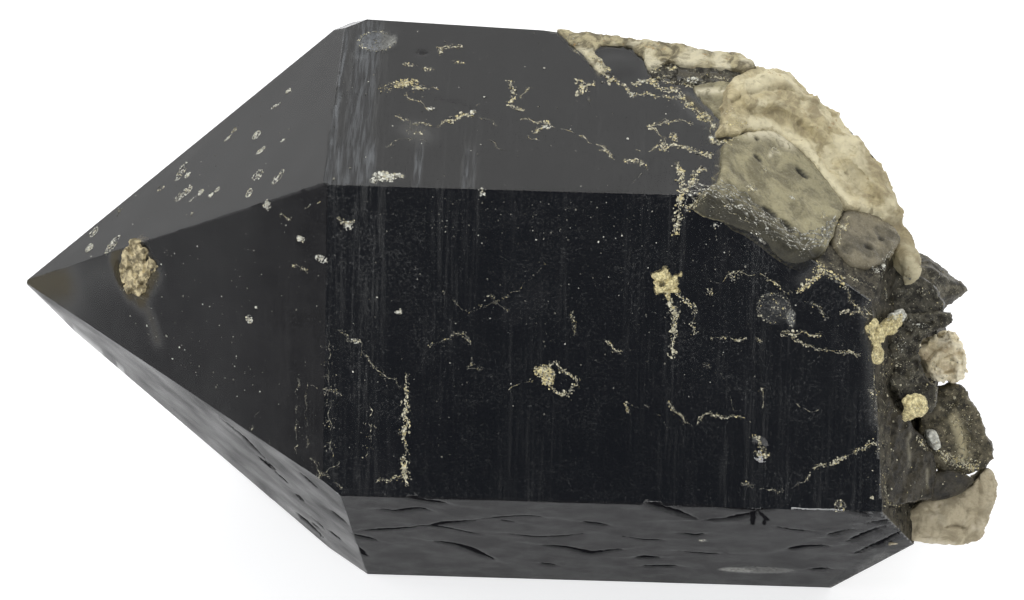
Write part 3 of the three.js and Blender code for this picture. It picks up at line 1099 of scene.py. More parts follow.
    def _layers(self, points: Array, nearest: Array) -> dict[str, Array]:
        """The attributes that the finish reads."""
        first, last = len(NATURAL_FACES), len(NATURAL_FACES) + len(BREAKS)
        haze, dark, stain_and_glow = (np.zeros(len(points)) for _ in range(3))
        for _, surface, on_face, at in self._by_face(points, nearest):
            for mark in MARKS:
                if mark.surface is surface:
                    dark[on_face] = np.maximum(dark[on_face], mark.shade(at))
                    if isinstance(mark, Pit):
                        haze[on_face] += mark.frost(at)
            for stain in TINTS_AND_TIP_GLOW:
                if stain.surface is surface:
                    stain_and_glow[on_face] = np.maximum(stain_and_glow[on_face], stain.glow(at))
        return {
            "ribbed": nearest < PRISM_FACES,
            "broken": (nearest >= first) & (nearest < last),
            "film": self._film(points, nearest),
            "streaked": self._streaks(points, nearest),
            "haze": haze,
            "dark": dark,
            "painted_shade": self._painted_shade_share(points, nearest),
            "stain_and_glow": stain_and_glow,
        }

    def build(self) -> Piece:
        """Builds the piece."""
        surfaces = [*NATURAL_FACES, *BREAKS, *WORN]
        bm = self._block(surfaces)
        self._net(bm)
        points = vertex_array(bm)
        looks = np.array([surface.normal[:] for surface in surfaces])
        offsets = np.array([surface.foot.dot(surface.normal) for surface in surfaces])
        depth = offsets[None, :] - points @ looks.T
        order = np.argsort(depth, axis=1)
        nearest = order[:, 0]
        gap = depth[np.arange(len(points)), order[:, 1]]
        out = looks[nearest] + looks[order[:, 1]] * (gap < 1e-3)[:, None]
        out /= np.linalg.norm(out, axis=1)[:, None]
        set_vertices(bm, points + out * self._heights(points, nearest, gap)[:, None])
        layers = self._layers(points, nearest)
        return finished(
            "main_crystal", bm, Finish.SMOKY, "smoky_quartz", ["smoky_quartz"], 28.0, **layers
        )


# -------- lumps of mineral


@dataclass(frozen=True)
class Slab:
    """A plate of mineral with a drawn outline.

    Args:
        surface: the surface it lies on.
        low, high: heights of its underside, and of its top at no distance along.
        outline: its corners, along and across the surface.
        slope: how much higher its top is for each millimetre along.
    """

    surface: Surface
    low: float
    high: float
    outline: Line
    slope: float = 0.0

    def add_to(self, bm: Shape) -> None:
        """Adds the plate to a bmesh."""
        corners = [bm.verts.new(self.surface.place(a, c, self.low)) for a, c in self.outline]
        face = bm.faces.new(corners)
        made = bmesh.ops.extrude_face_region(bm, geom=[face], use_keep_orig=True)
        for item in made["geom"]:
            if isinstance(item, bmesh.types.BMVert):
                along = (item.co - self.surface.foot).dot(self.surface.axes()[0])
                item.co += self.surface.normal * (self.high + self.slope * along - self.low)


def slab(surface: Surface, low: float, high: float, *outline: Point, slope: float = 0.0) -> Slab:
    """A plate whose corners are listed one after the other."""
    return Slab(surface, low, high, outline, slope)


@dataclass(frozen=True)
class Lump:
    """A round mass.

    Args:
        centre: its middle.
        radii: its half sizes.
    """

    centre: Triple
    radii: Triple

    def add_to(self, bm: Shape) -> None:
        """Adds the mass to a bmesh."""
        matrix = Matrix.Translation(self.centre) @ Matrix.Diagonal((*self.radii, 1))
        bmesh.ops.create_icosphere(bm, subdivisions=3, radius=1.0, matrix=matrix)


@dataclass(frozen=True)
class Crystal:
    """A six-sided crystal with a point.

    Args:
        foot, end: the middle of its foot, and its tip.
        radius, point: its half width, and the length of its point.
        twist: its turn about its own length, in degrees.
        flat: its thickness as a share of its width.
    """

    foot: Triple
    end: Triple
    radius: float
    point: float
    twist: float
    flat: float

    def add_to(self, bm: Shape) -> None:
        """Adds the crystal to a bmesh."""
        foot, end = Vector(self.foot), Vector(self.end)
        turn = (end - foot).to_track_quat("Z", "Y").to_matrix().to_4x4()
        spin = Matrix.Rotation(math.radians(self.twist), 4, "Z")
        base = Matrix.Translation(foot) @ turn @ Matrix.Diagonal((1, self.flat, 1, 1)) @ spin
        shaft, neck = (end - foot).length - self.point, self.radius * 0.97
        for start, depth, low, high in (
            (0.0, shaft, self.radius, neck), (shaft, self.point, neck, self.radius * 0.04),
        ):
            bmesh.ops.create_cone(
                bm, cap_ends=True, segments=6, radius1=low, radius2=high, depth=depth,
                matrix=base @ Matrix.Translation((0, 0, start + depth / 2)),
            )


@dataclass
class Rock:
    """A lump of mineral joined from simple masses, skinned evenly and then weathered.

    Args:
        name, finish, slot: the piece's name, finish and material slot.
        parts: the masses it is joined from.
        stands_for: the CAD nodes it replaces.
        skin, smooth: size of its even net of faces, and how often that is smoothed.
        swell, swell_size: height and width of its broad humps.
        chip, chip_size: height and width of its chips.
        grit: height of its fine roughness.
        marks, bright: its grooves and pits, which are blackened with painted shade, and its lines of paler
            mineral.
        seed: moves its noise.
        sharp: edges sharper than this many degrees stay crisp.
    """

    name: str
    finish: "Finish"
    slot: str
    parts: tuple[Slab | Lump | Crystal, ...]
    stands_for: tuple[str, ...] = ()
    skin: float = 0.28
    smooth: int = 4
    swell: float = 0.25
    swell_size: float = 3.0
    chip: float = 0.1
    chip_size: float = 1.2
    grit: float = 0.05
    marks: tuple[Groove | Pit, ...] = ()
    bright: tuple[TintBand, ...] = ()
    seed: int = 1
    sharp: float = 40.0

    def _shape(self) -> Shape:
        """Joins, skins and smooths the masses."""
        bm = bmesh.new()
        for part in self.parts:
            part.add_to(bm)
        bmesh.ops.recalc_face_normals(bm, faces=bm.faces)
        bm = skinned(bm, self.skin)
        for _ in range(self.smooth):
            bmesh.ops.smooth_vert(
                bm, verts=bm.verts, factor=0.5, use_axis_x=True, use_axis_y=True, use_axis_z=True
            )
        return bm

    def build(self) -> Piece:
        """Builds the piece."""
        bm = self._shape()
        points = vertex_array(bm)
        bm.normal_update()
        normals = np.array([vertex.normal[:] for vertex in bm.verts])
        height = self.swell * ruffle(points, self.swell_size, 3, self.seed)
        if self.chip:
            wobble = points + 0.3 * ruffle(points, 1.0, 2, self.seed + 3)[:, None]
            height += self.chip * chips(wobble, self.chip_size, self.seed, (0.7, 1, 0.9))
        height += self.grit * ruffle(points, 0.6, 3, self.seed + 5)
        dark, light = np.zeros(len(points)), np.zeros(len(points))
        for mark in self.marks:
            facing = normals @ np.array(mark.surface.normal)
            at = mark.surface.coordinates(points)
            height += mark.height(at) * (facing > 0.15)
            # The marks' black is painted shade in recesses. It also reaches faces turned a little away from
            # the mark's surface, such as a plate's shaded rim.
            dark = np.maximum(dark, mark.shade(at) * (facing > -0.3))
        for line in self.bright:
            light = np.maximum(light, line.glow(line.surface.coordinates(points)))
        set_vertices(bm, points + normals * height[:, None])
        dark, light = dark.clip(0, 1), light.clip(0, 1)
        return finished(
            self.name, bm, self.finish, self.slot, self.stands_for, self.sharp, dark=dark, light=light
        )


QUARTZ, STONE, CRUST = "smoky_quartz", "feldspar", "golden_crust"

ROCKS: tuple[Rock, ...] = (
    Rock("shoulder_quartz", Finish.PALE, QUARTZ,
        (slab(SHOULDER, -2.2, 0.75, (-1.5, -9.2), (-1.4, -6.6), (0.1, -4.4), (2, -2.8), (4.3, -1.2),
            (5.8, -1.3), (7.7, -2.2), (9.4, -2.9), (11, -4.4), (12.9, -6.5), (14, -8.3), (12.9, -11),
            (12.4, -14), (11.3, -16.6), (9.8, -18.2), (7.2, -18), (4.8, -17), (2.6, -16.3), (0, -16),
            (-2.4, -16.2), (-4, -15.7), (-3.3, -14.4), (-1.8, -12.6)),),
        (QUARTZ,), smooth=7, swell=0.22, chip=0, grit=0.03, seed=3,
        marks=(
            *pits(SHOULDER, (2.6, -6.9, 0.7, 0.35, -30, 0.3, 0.95), (2.5, -3.9, 0.4, 0.3, 0, 0.3, 0.9),
                (8.3, -6.1, 1.1, 0.5, -35, 0.4, 1.1), (4.3, -14.2, 1.3, 0.7, -25, 0.4, 1.1),
                (6.5, -15.2, 1.3, 0.6, -30, 0.4, 1.1), (8.5, -16.3, 1.1, 0.9, 0, 0.3, 0.75),
                (-0.3, -15, 1, 0.5, -10, 0.3, 0.9), (-2.6, -15.2, 0.8, 0.4, -10, 0.2, 0.8),
                (1.4, -13.6, 1.4, 0.8, -20, 0.2, 0.6), (10.2, -17.2, 0.9, 0.6, 30, 0.2, 0.6),
                (11, -6.4, 5, 3.2, 0, 0, 0.18)),
            # A wide band of painted shade along the plate's lower rim, which turns away from the light.
            Groove(SHOULDER, ((-12, -16), (0.5, -16.2), (4, -17), (8, -18.4), (12, -17.2), (20, -13)), 0.1,
                2.2, 0, dark=0.95)),
        bright=(TintBand(SHOULDER, ((1.2, -3.6), (2.9, -2.6), (4.8, -1.8), (6.4, -2.6)), 0.9),
            TintBand(SHOULDER, ((4.2, -5.6), (4.6, -4.6), (5.5, -4.3)), 0.22))),
    Rock("second_quartz", Finish.SECOND, QUARTZ,
        (slab(SHOULDER, -3, 0.5, (13.9, -8.9), (14.8, -7.9), (16.5, -7.4), (18.4, -7.1), (20.4, -7.8),
            (21.4, -9.5), (20.3, -11.8), (19, -14), (16.8, -15.8), (14.8, -16.2), (13.5, -15.4),
            (12.6, -14), (13, -11)),),
        (QUARTZ,), smooth=8, swell=0.3, swell_size=2.4, chip=0.05, seed=5,
        marks=(*pits(SHOULDER, (18.6, -10.7, 0.5, 0.35, 0, 0.25, 0.8), (17, -12.8, 0.8, 0.5, 0, 0.3, 0.8),
            (14.2, -14.6, 0.9, 0.8, 0, 0.3, 0.5)),)),
    Rock("grey_patch", Finish.PALE, QUARTZ,
        (slab(TOP, -1.6, 0.3, (20.8, 3.4), (22.4, 4.4), (24.6, 4.6), (26.6, 4.4), (27.2, 2.6), (26.4, -0.6),
            (25.4, -2.2), (24, -2.2), (22.9, -0.4), (21.6, 1.2)),),
        (QUARTZ,), smooth=6, swell=0.25, chip=0.08, seed=8,
        marks=(Groove(TOP, ((21.2, 2), (23.4, 1.2), (25.6, 1.4)), 0.2, 0.25, 0.1, dark=0.3),),
        bright=(TintBand(TOP, ((21.4, 2.4), (23.6, 2.6), (26, 2.2)), 0.5),)),
    Rock("shoulder_feldspar", Finish.FELDSPAR, STONE,
        (
            slab(SHOULDER, -4.5, 0.9, (-1.9, -4.8), (0.1, -4.3), (1.6, -2.7), (4.1, -1.3), (6.3, -2.1),
                (8.6, -2.5), (9.9, -3.8), (11.7, -5.8), (14.5, -8.2), (17, -7.3), (18.8, -7.2),
                (20.4, -7.6), (21.6, -5.6), (20.4, -2.4), (18.3, 0.9), (14.9, 3.5), (10.8, 6), (8.8, 7.7),
                (6.6, 8.7), (4, 8.1), (1.6, 6.9), (-0.8, 3.2), (-1.4, -2.2)),
            slab(SHOULDER, -2.4, 0.2, (20.8, -4.3), (22.6, -7.3), (23.4, -9.6), (23.9, -11.2),
                (23.9, -12.6), (23.3, -13.2), (22.6, -11.9), (21.5, -10.6), (20, -9), (18.7, -6.8)),
            slab(SHOULDER, -2, 1.9, (0.6, -0.6), (4.2, 1.4), (8, 1), (11.4, -0.6), (15.4, -3), (18, -5.6),
                (19.6, -6.6), (19.8, -4.4), (17.6, -0.4), (15.2, 1.3), (10.2, 4.4), (8, 6.1), (6, 6.9),
                (3.4, 6.2), (0.2, 3.2))),
        ("shoulder_feldspar",), smooth=3, swell=0.5, swell_size=3, chip=0.16, chip_size=1.8, grit=0.08,
        seed=11,
        marks=(*pits(SHOULDER, (21.6, -10, 2.8, 5.2, 10, 0.1, 0.5)),
            Groove(SHOULDER, ((-1.2, -0.4), (1.2, 2), (3.9, 3.9), (6.2, 4.6), (10.3, 3.8)), 0.3, 0.35, 0.3,
                2, dark=0.35),
            Groove(SHOULDER, ((2, -0.4), (5, 1.6), (8.4, 1.6), (11.6, 0.4)), 0.12, 0.3, 0.1, 1.5, dark=0.2),
            Groove(SHOULDER, ((12, -3.4), (14.4, -2.6), (16.6, -1.2)), 0.15, 0.3, 0.1, 1.5, dark=0.2),
            *pits(SHOULDER, (7.6, 0.9, 0.4, 0.3, 0, 0.2, 0.8), (13.9, -3.2, 0.35, 0.25, 0, 0.2, 0.9),
                (17.2, -7.2, 0.3, 0.3, 0, 0.15, 0.7), (17.4, -3.6, 4.5, 3, 0, 0, 0.2))),
        bright=(
            TintBand(SHOULDER, ((1.7, -2.2), (4.1, -1), (6.4, -0.8), (8.6, -2), (9.9, -3.4), (12.2, -5.6)),
                0.8),
            TintBand(SHOULDER, ((1, 3.2), (3.9, 6), (6.6, 6.2)), 1.2),
            TintBand(SHOULDER, ((22.6, -11.4), (23.4, -13.6)), 0.7),
            TintBand(SHOULDER, ((9.9, -3.4), (12.2, -5.6), (14.6, -7.4)), 0.6))),
    Rock("ridge_feldspar", Finish.RIDGE, STONE,
        (
            slab(TOP, -2, 0.6, (15, 10.9), (19.2, 10.2), (22.5, 9.4), (25.9, 9), (27.2, 8), (27.7, 6.5),
                (25.9, 6.1), (23.7, 6.4), (21.5, 6.6), (19.3, 7), (17.9, 7.4), (17, 6.3), (15.9, 5.9),
                (15.3, 7.9)),
            slab(TOP, -1.5, 0.28, (5.2, 12.6), (7.4, 12.3), (10.2, 11.9), (13, 11.5), (15.6, 10.9),
                (16, 8.8), (15.2, 8.2), (13.8, 10), (12, 10.2), (10.4, 10.1), (9.4, 9), (10.5, 7.8),
                (11.2, 5.8), (10.4, 5), (9.6, 6.6), (8.5, 8.5), (7.2, 9.7), (6.4, 11.2))),
        ("ridge_feldspar",), smooth=2, swell=0.2, swell_size=2.2, chip=0.1, chip_size=1, grit=0.07,
        seed=13),
    # A thin black plate just in front of the ridge: painted shadow under the overhanging ridge.
    Rock("ridge_shadow_band", Finish.BLACK, QUARTZ,
        (slab(TOP, -1.2, 0.1, (16.2, 7.2), (18, 7.6), (21.5, 7), (25.8, 6.6), (26.4, 4.6), (23.6, 4.2),
            (20.4, 4), (18.6, 3.8), (16.6, 4.6), (15.8, 5.8)),),
        (QUARTZ,), smooth=2, swell=0.3, swell_size=1.6, chip=0.3, chip_size=0.8, seed=17),
    Rock("base_feldspar_lump", Finish.LUMP, STONE,
        (slab(ROOT_SIDE, -6, 0.2, (-1, 7.3), (-0.3, 8.2), (0.7, 9), (1.6, 8.7), (2.2, 9.5), (2.9, 9.2),
            (3.5, 8.2), (4, 7), (4.2, 5.9), (3.9, 4.8), (3.4, 4.1), (2.4, 4.3), (0.9, 4.5), (-0.1, 5),
            (-0.4, 6)),),
        ("base_feldspar_lump",), skin=0.18, smooth=4, swell=0.55, swell_size=1.5, chip=0.2, chip_size=0.8,
        grit=0.12, seed=19,
        marks=(
            Groove(ROOT_SIDE, ((0.6, 5.2), (1.1, 6.6), (2.2, 6.9), (3, 6.2), (2.8, 5.2), (1.8, 4.9)), 0.35,
                0.25, 0.15, 1, dark=0.3),
            Groove(ROOT_SIDE, ((-0.2, 6.4), (0.9, 7.7), (2.4, 8.4)), 0.3, 0.25, 0.15, 1, dark=0.25),
            Groove(ROOT_SIDE, ((3.3, 7.8), (3.7, 6.4), (3.9, 5)), 0.3, 0.22, 0.15, 1, dark=0.2))),
    Rock("base_feldspar_block", Finish.BLOCK, STONE,
        (slab(ROOT_SIDE, -10.5, -3.6, (-2, -12.6), (-1.1, -10.7), (0.1, -9.6), (1.8, -9.1), (3.8, -8.8),
            (5.1, -8.1), (6, -7.2), (6.7, -6.2), (7.3, -5.6), (8, -6.3), (8.3, -7.7), (8.2, -9.2),
            (7.9, -10.6), (7.4, -12), (6.8, -13.4), (5.6, -14), (4.3, -14.2), (2.5, -14.2), (0.8, -14),
            (-1, -13.7), (-3.6, -14.7), (-3, -13.6)),),
        ("base_feldspar_block",), skin=0.25, smooth=3, swell=0.35, swell_size=2.4, chip=0.14,
        chip_size=1.3, grit=0.08, seed=23,
        marks=(Groove(ROOT_SIDE, ((2.8, -12.3), (4.2, -12.1), (5.4, -12.5)), 0.25, 0.2, 0.1, dark=0.9),
            Groove(ROOT_SIDE, ((6.4, -6.4), (6.6, -9), (6.3, -12.6)), 0.2, 0.35, 0.15, dark=0.25))),
    Rock("smoky_knob", Finish.KNOB, QUARTZ,
        (slab(ROOT_SIDE, -9.5, -3.2, (-0.4, 0.4), (0.6, 2.6), (2.5, 3.5), (3.9, 3.5), (4.6, 3.2),
            (5.1, 1.9), (5.9, 1.2), (6.5, 0.3), (6.9, -1.6), (7.9, -3.2), (8, -4.3), (7, -5.6),
            (5.3, -6.4), (3, -6.4), (1, -5), (-0.2, -2.4)),),
        (QUARTZ,), smooth=2, swell=0.45, swell_size=2.4, chip=0.05, chip_size=0.7, grit=0.13, seed=29,
        sharp=30, bright=(TintBand(ROOT_SIDE, ((3.4, -0.2), (4.2, -2), (4.6, -4.2)), 0.6),)),
    Rock("brown_wedge", Finish.BROWN, QUARTZ,
        (slab(ROOT_SIDE, -5.5, -2.3, (-0.6, -9.4), (-0.6, -7.8), (0.8, -6.3), (3.1, -5.8), (4.7, -6.2),
            (6, -6.9), (4.5, -8.5), (2.6, -9.2)),),
        (QUARTZ,), skin=0.22, smooth=7, swell=0.12, chip=0, grit=0.02, seed=31),
    Rock("smoky_spur", Finish.OLIVE, QUARTZ,
        (Crystal((38.5, -3, 37.8), (52.6, -1.6, 36.3), 4.3, 4.6, 8, 0.8),
            Crystal((38, -0.6, 38.6), (49.4, -0.8, 37.2), 2.7, 3, 20, 0.9)),
        (QUARTZ,), skin=0.22, smooth=1, swell=0.18, swell_size=2.2, chip=0.1, chip_size=1.4, grit=0.03,
        seed=37, sharp=30),
    Rock("root_quartz", Finish.BLACK, QUARTZ,
        (slab(ROOT_SIDE, -6, 2.6, (-10, 15.4), (-8.6, 16.6), (-5.6, 17.8), (-3.4, 17), (-1.3, 15.5),
            (0.4, 14.4), (1.5, 12.4), (0.6, 11.4), (-2, 11.2), (-5, 11.2), (-8.2, 12), (-9.6, 13.6)),),
        (QUARTZ,), smooth=2, swell=0.4, swell_size=2.4, chip=0.06, chip_size=0.8, grit=0.12, seed=41,
        sharp=30),
    Rock("root_rubble", Finish.BLACK, QUARTZ,
        (slab(ROOT_SIDE, -4, 4.4, (-6.8, 9.6), (-5.8, 11), (-3.1, 11.2), (0.2, 11.6), (1.9, 11.5),
            (2, 10.6), (0.4, 9.9), (-0.9, 8.9), (-1.5, 7.4), (-1.1, 5.6), (-0.6, 4.4), (0.6, 3.4),
            (0.9, 1.6), (0, 0.6), (-1.6, 1.6), (-3.2, 2), (-5, 4.6), (-5.9, 7.3)),),
        (QUARTZ,), smooth=1, swell=0.4, swell_size=1.6, chip=0.12, chip_size=0.5, grit=0.15, seed=43,
        sharp=25),
    Rock("brown_columns", Finish.BROWN, QUARTZ,
        (slab(ROOT_SIDE, -4, 1.2, (-7.6, -9.6), (-4, -9.8), (0.9, -9), (1.4, -5.4), (0.9, -3.9),
            (-0.7, -2.2), (-2.2, -0.6), (-4, 1.6), (-5.6, 3.8), (-7.2, 3.6), (-7.6, 1), slope=-0.9),),
        (QUARTZ,), skin=0.22, smooth=3, swell=0.3, swell_size=2.2, chip=0.05, grit=0.08, seed=47, sharp=30,
        bright=(TintBand(ROOT_SIDE, ((-2.1, -1.8), (-2, -5.4)), 0.22),
            TintBand(ROOT_SIDE, ((0.2, -5.8), (0.3, -7.8)), 0.2),
            TintBand(ROOT_SIDE, ((-4.6, -1.6), (-4.8, -6.6)), 0.15))),
    Rock("tip_crust", Finish.CRUST, CRUST,
        (slab(TIP_FRONT, -1.6, 0.25, (16.4, 6.6), (17.6, 7.5), (18.6, 7.3), (21.2, 5), (21, 4.2),
            (19.4, 3.4), (19.2, 2.2), (18.2, 1), (17, 1.4), (15.9, 2.6), (15.4, 3.8), (15.9, 5.2)),),
        ("tip_crust",), skin=0.13, smooth=1, swell=0.3, swell_size=1.5, chip=0.25, chip_size=0.9,
        grit=0.03, seed=53, sharp=25,
        marks=(Groove(TIP_FRONT, ((21.4, 4.6), (20.2, 3.9), (19.3, 2.9), (18.4, 2.2)), 0.5, 0.2, 0.1),)),
    Rock("front_crust", Finish.GOLD, CRUST,
        (slab(FRONT, -0.8, 0.12, (17.3, 8.1), (16.8, 9.2), (17.7, 9.2), (18.2, 10), (18.9, 9.3), (20, 9.4),
            (19.4, 8.5), (20, 7.3), (19.1, 7.5), (18.7, 6.5), (18.2, 7.4), (17.3, 7)),),
        ("front_crust",), skin=0.13, smooth=1, swell=0.25, swell_size=1, chip=0.25, chip_size=0.5,
        grit=0.1, seed=59),
    Rock("base_crust", Finish.GOLD, CRUST,
        (slab(ROOT_SIDE, 3, 2.4, (-8.1, 9.8), (-7.2, 10.4), (-6.5, 9.7), (-5.4, 10.5), (-4.2, 10.9),
            (-3.8, 10.3), (-5, 9.3), (-6.1, 8.9), (-6.6, 8.2), (-6.1, 7.2), (-6.3, 6.2), (-7, 6),
            (-7.1, 7.2), (-7.4, 8.4), slope=-1.6),),
        ("base_crust",), skin=0.14, smooth=1, swell=0.3, swell_size=1.2, chip=0.25, chip_size=0.6,
        grit=0.1, seed=61),
    Rock("olive_nodule", Finish.GOLD, CRUST,
        (Lump((46.2, -24, 39.6), (1.35, 1, 1.3)), Lump((45.4, -24.6, 38.6), (0.7, 0.6, 0.7))), (),
        skin=0.13, smooth=2, swell=0.25, swell_size=1, chip=0.15, chip_size=0.6, grit=0.08, seed=71),
    Rock("cream_sliver", Finish.WHITE, STONE,
        (
            slab(ROOT_SIDE, -4, 1.3, (0.1, -1.5), (0.8, -1.5), (1.4, -2.4), (1.7, -3.3), (1.2, -3.6),
                (0.5, -3), (0.1, -2.2)),
            slab(ROOT_SIDE, 2, 3.2, (-5.3, 10.6), (-5, 11.2), (-3.7, 11.8), (-3.2, 11.2), (-3.5, 10.6),
                (-4.6, 10.2), slope=-1.3)),
        (), skin=0.12, smooth=2, swell=0.15, swell_size=1, chip=0.08, chip_size=0.6, grit=0.05, seed=73),
)


# -------- grains


Mix = tuple[tuple[Finish, float], ...]

CREAMY: Mix = ((Finish.CREAM, 0.62), (Finish.GOLD, 0.18), (Finish.DIM, 0.2))
GOLDEN: Mix = ((Finish.GOLD, 0.6), (Finish.CREAM, 0.25), (Finish.DIM, 0.15))
WHITISH: Mix = ((Finish.WHITE, 0.72), (Finish.CREAM, 0.18), (Finish.DIM, 0.1))
FAINT: Mix = ((Finish.DIM, 0.74), (Finish.CREAM, 0.2), (Finish.GOLD, 0.06))
DUSTY: Mix = ((Finish.DIM, 0.72), (Finish.WHITE, 0.28))
VEIN_WANDER = 0.6
RING_GRAIN = 0.085


@dataclass(frozen=True)
class Style:
    """How full a vein is.

    Args:
        grain: half the width of a usual grain.
        spread: how far the grains stray sideways.
        cover: the share of the vein that holds grains.
    """

    grain: float
    spread: float
    cover: float


class Ground:
    """The finished pieces, to lay grains on."""

    def __init__(self, pieces: Iterable[Piece]) -> None:
        """Gathers the pieces' triangles."""
        corners: list[Array] = []
        triangles: list[Array] = []
        first = 0
        for piece in pieces:
            mesh = piece.data
            mesh.calc_loop_triangles()
            places = np.empty(len(mesh.vertices) * 3)
            mesh.vertices.foreach_get("co", places)
            faces = np.empty(len(mesh.loop_triangles) * 3, dtype=np.int32)
            mesh.loop_triangles.foreach_get("vertices", faces)
            corners.append(places.reshape(-1, 3) / MM)
            triangles.append(faces.reshape(-1, 3) + first)
            first += len(mesh.vertices)
        self.tree = BVHTree.FromPolygons(
            np.concatenate(corners).tolist(), np.concatenate(triangles).tolist()
        )

    def drop(self, surface: Surface, along: float, across: float, turn: float) -> Matrix | None:
        """A frame where something dropped onto a surface comes to rest.

        Args:
            surface: the surface that it is dropped onto.
            along: its place along the surface.
            across: its place across the surface.
            turn: its turn, in radians.

        Returns:
            The frame, or None if it misses.
        """
        start = surface.place(along, across, 30.0)
        place, normal, _, _ = self.tree.ray_cast(start, -surface.normal)
        if place is None:
            return None
        one = surface.axes()[0]
        one = (one - normal * one.dot(normal)).normalized()
        rest = Matrix((one, normal.cross(one), normal)).transposed().to_4x4()
        rest.translation = place
        return rest @ Matrix.Rotation(turn, 4, "Z")


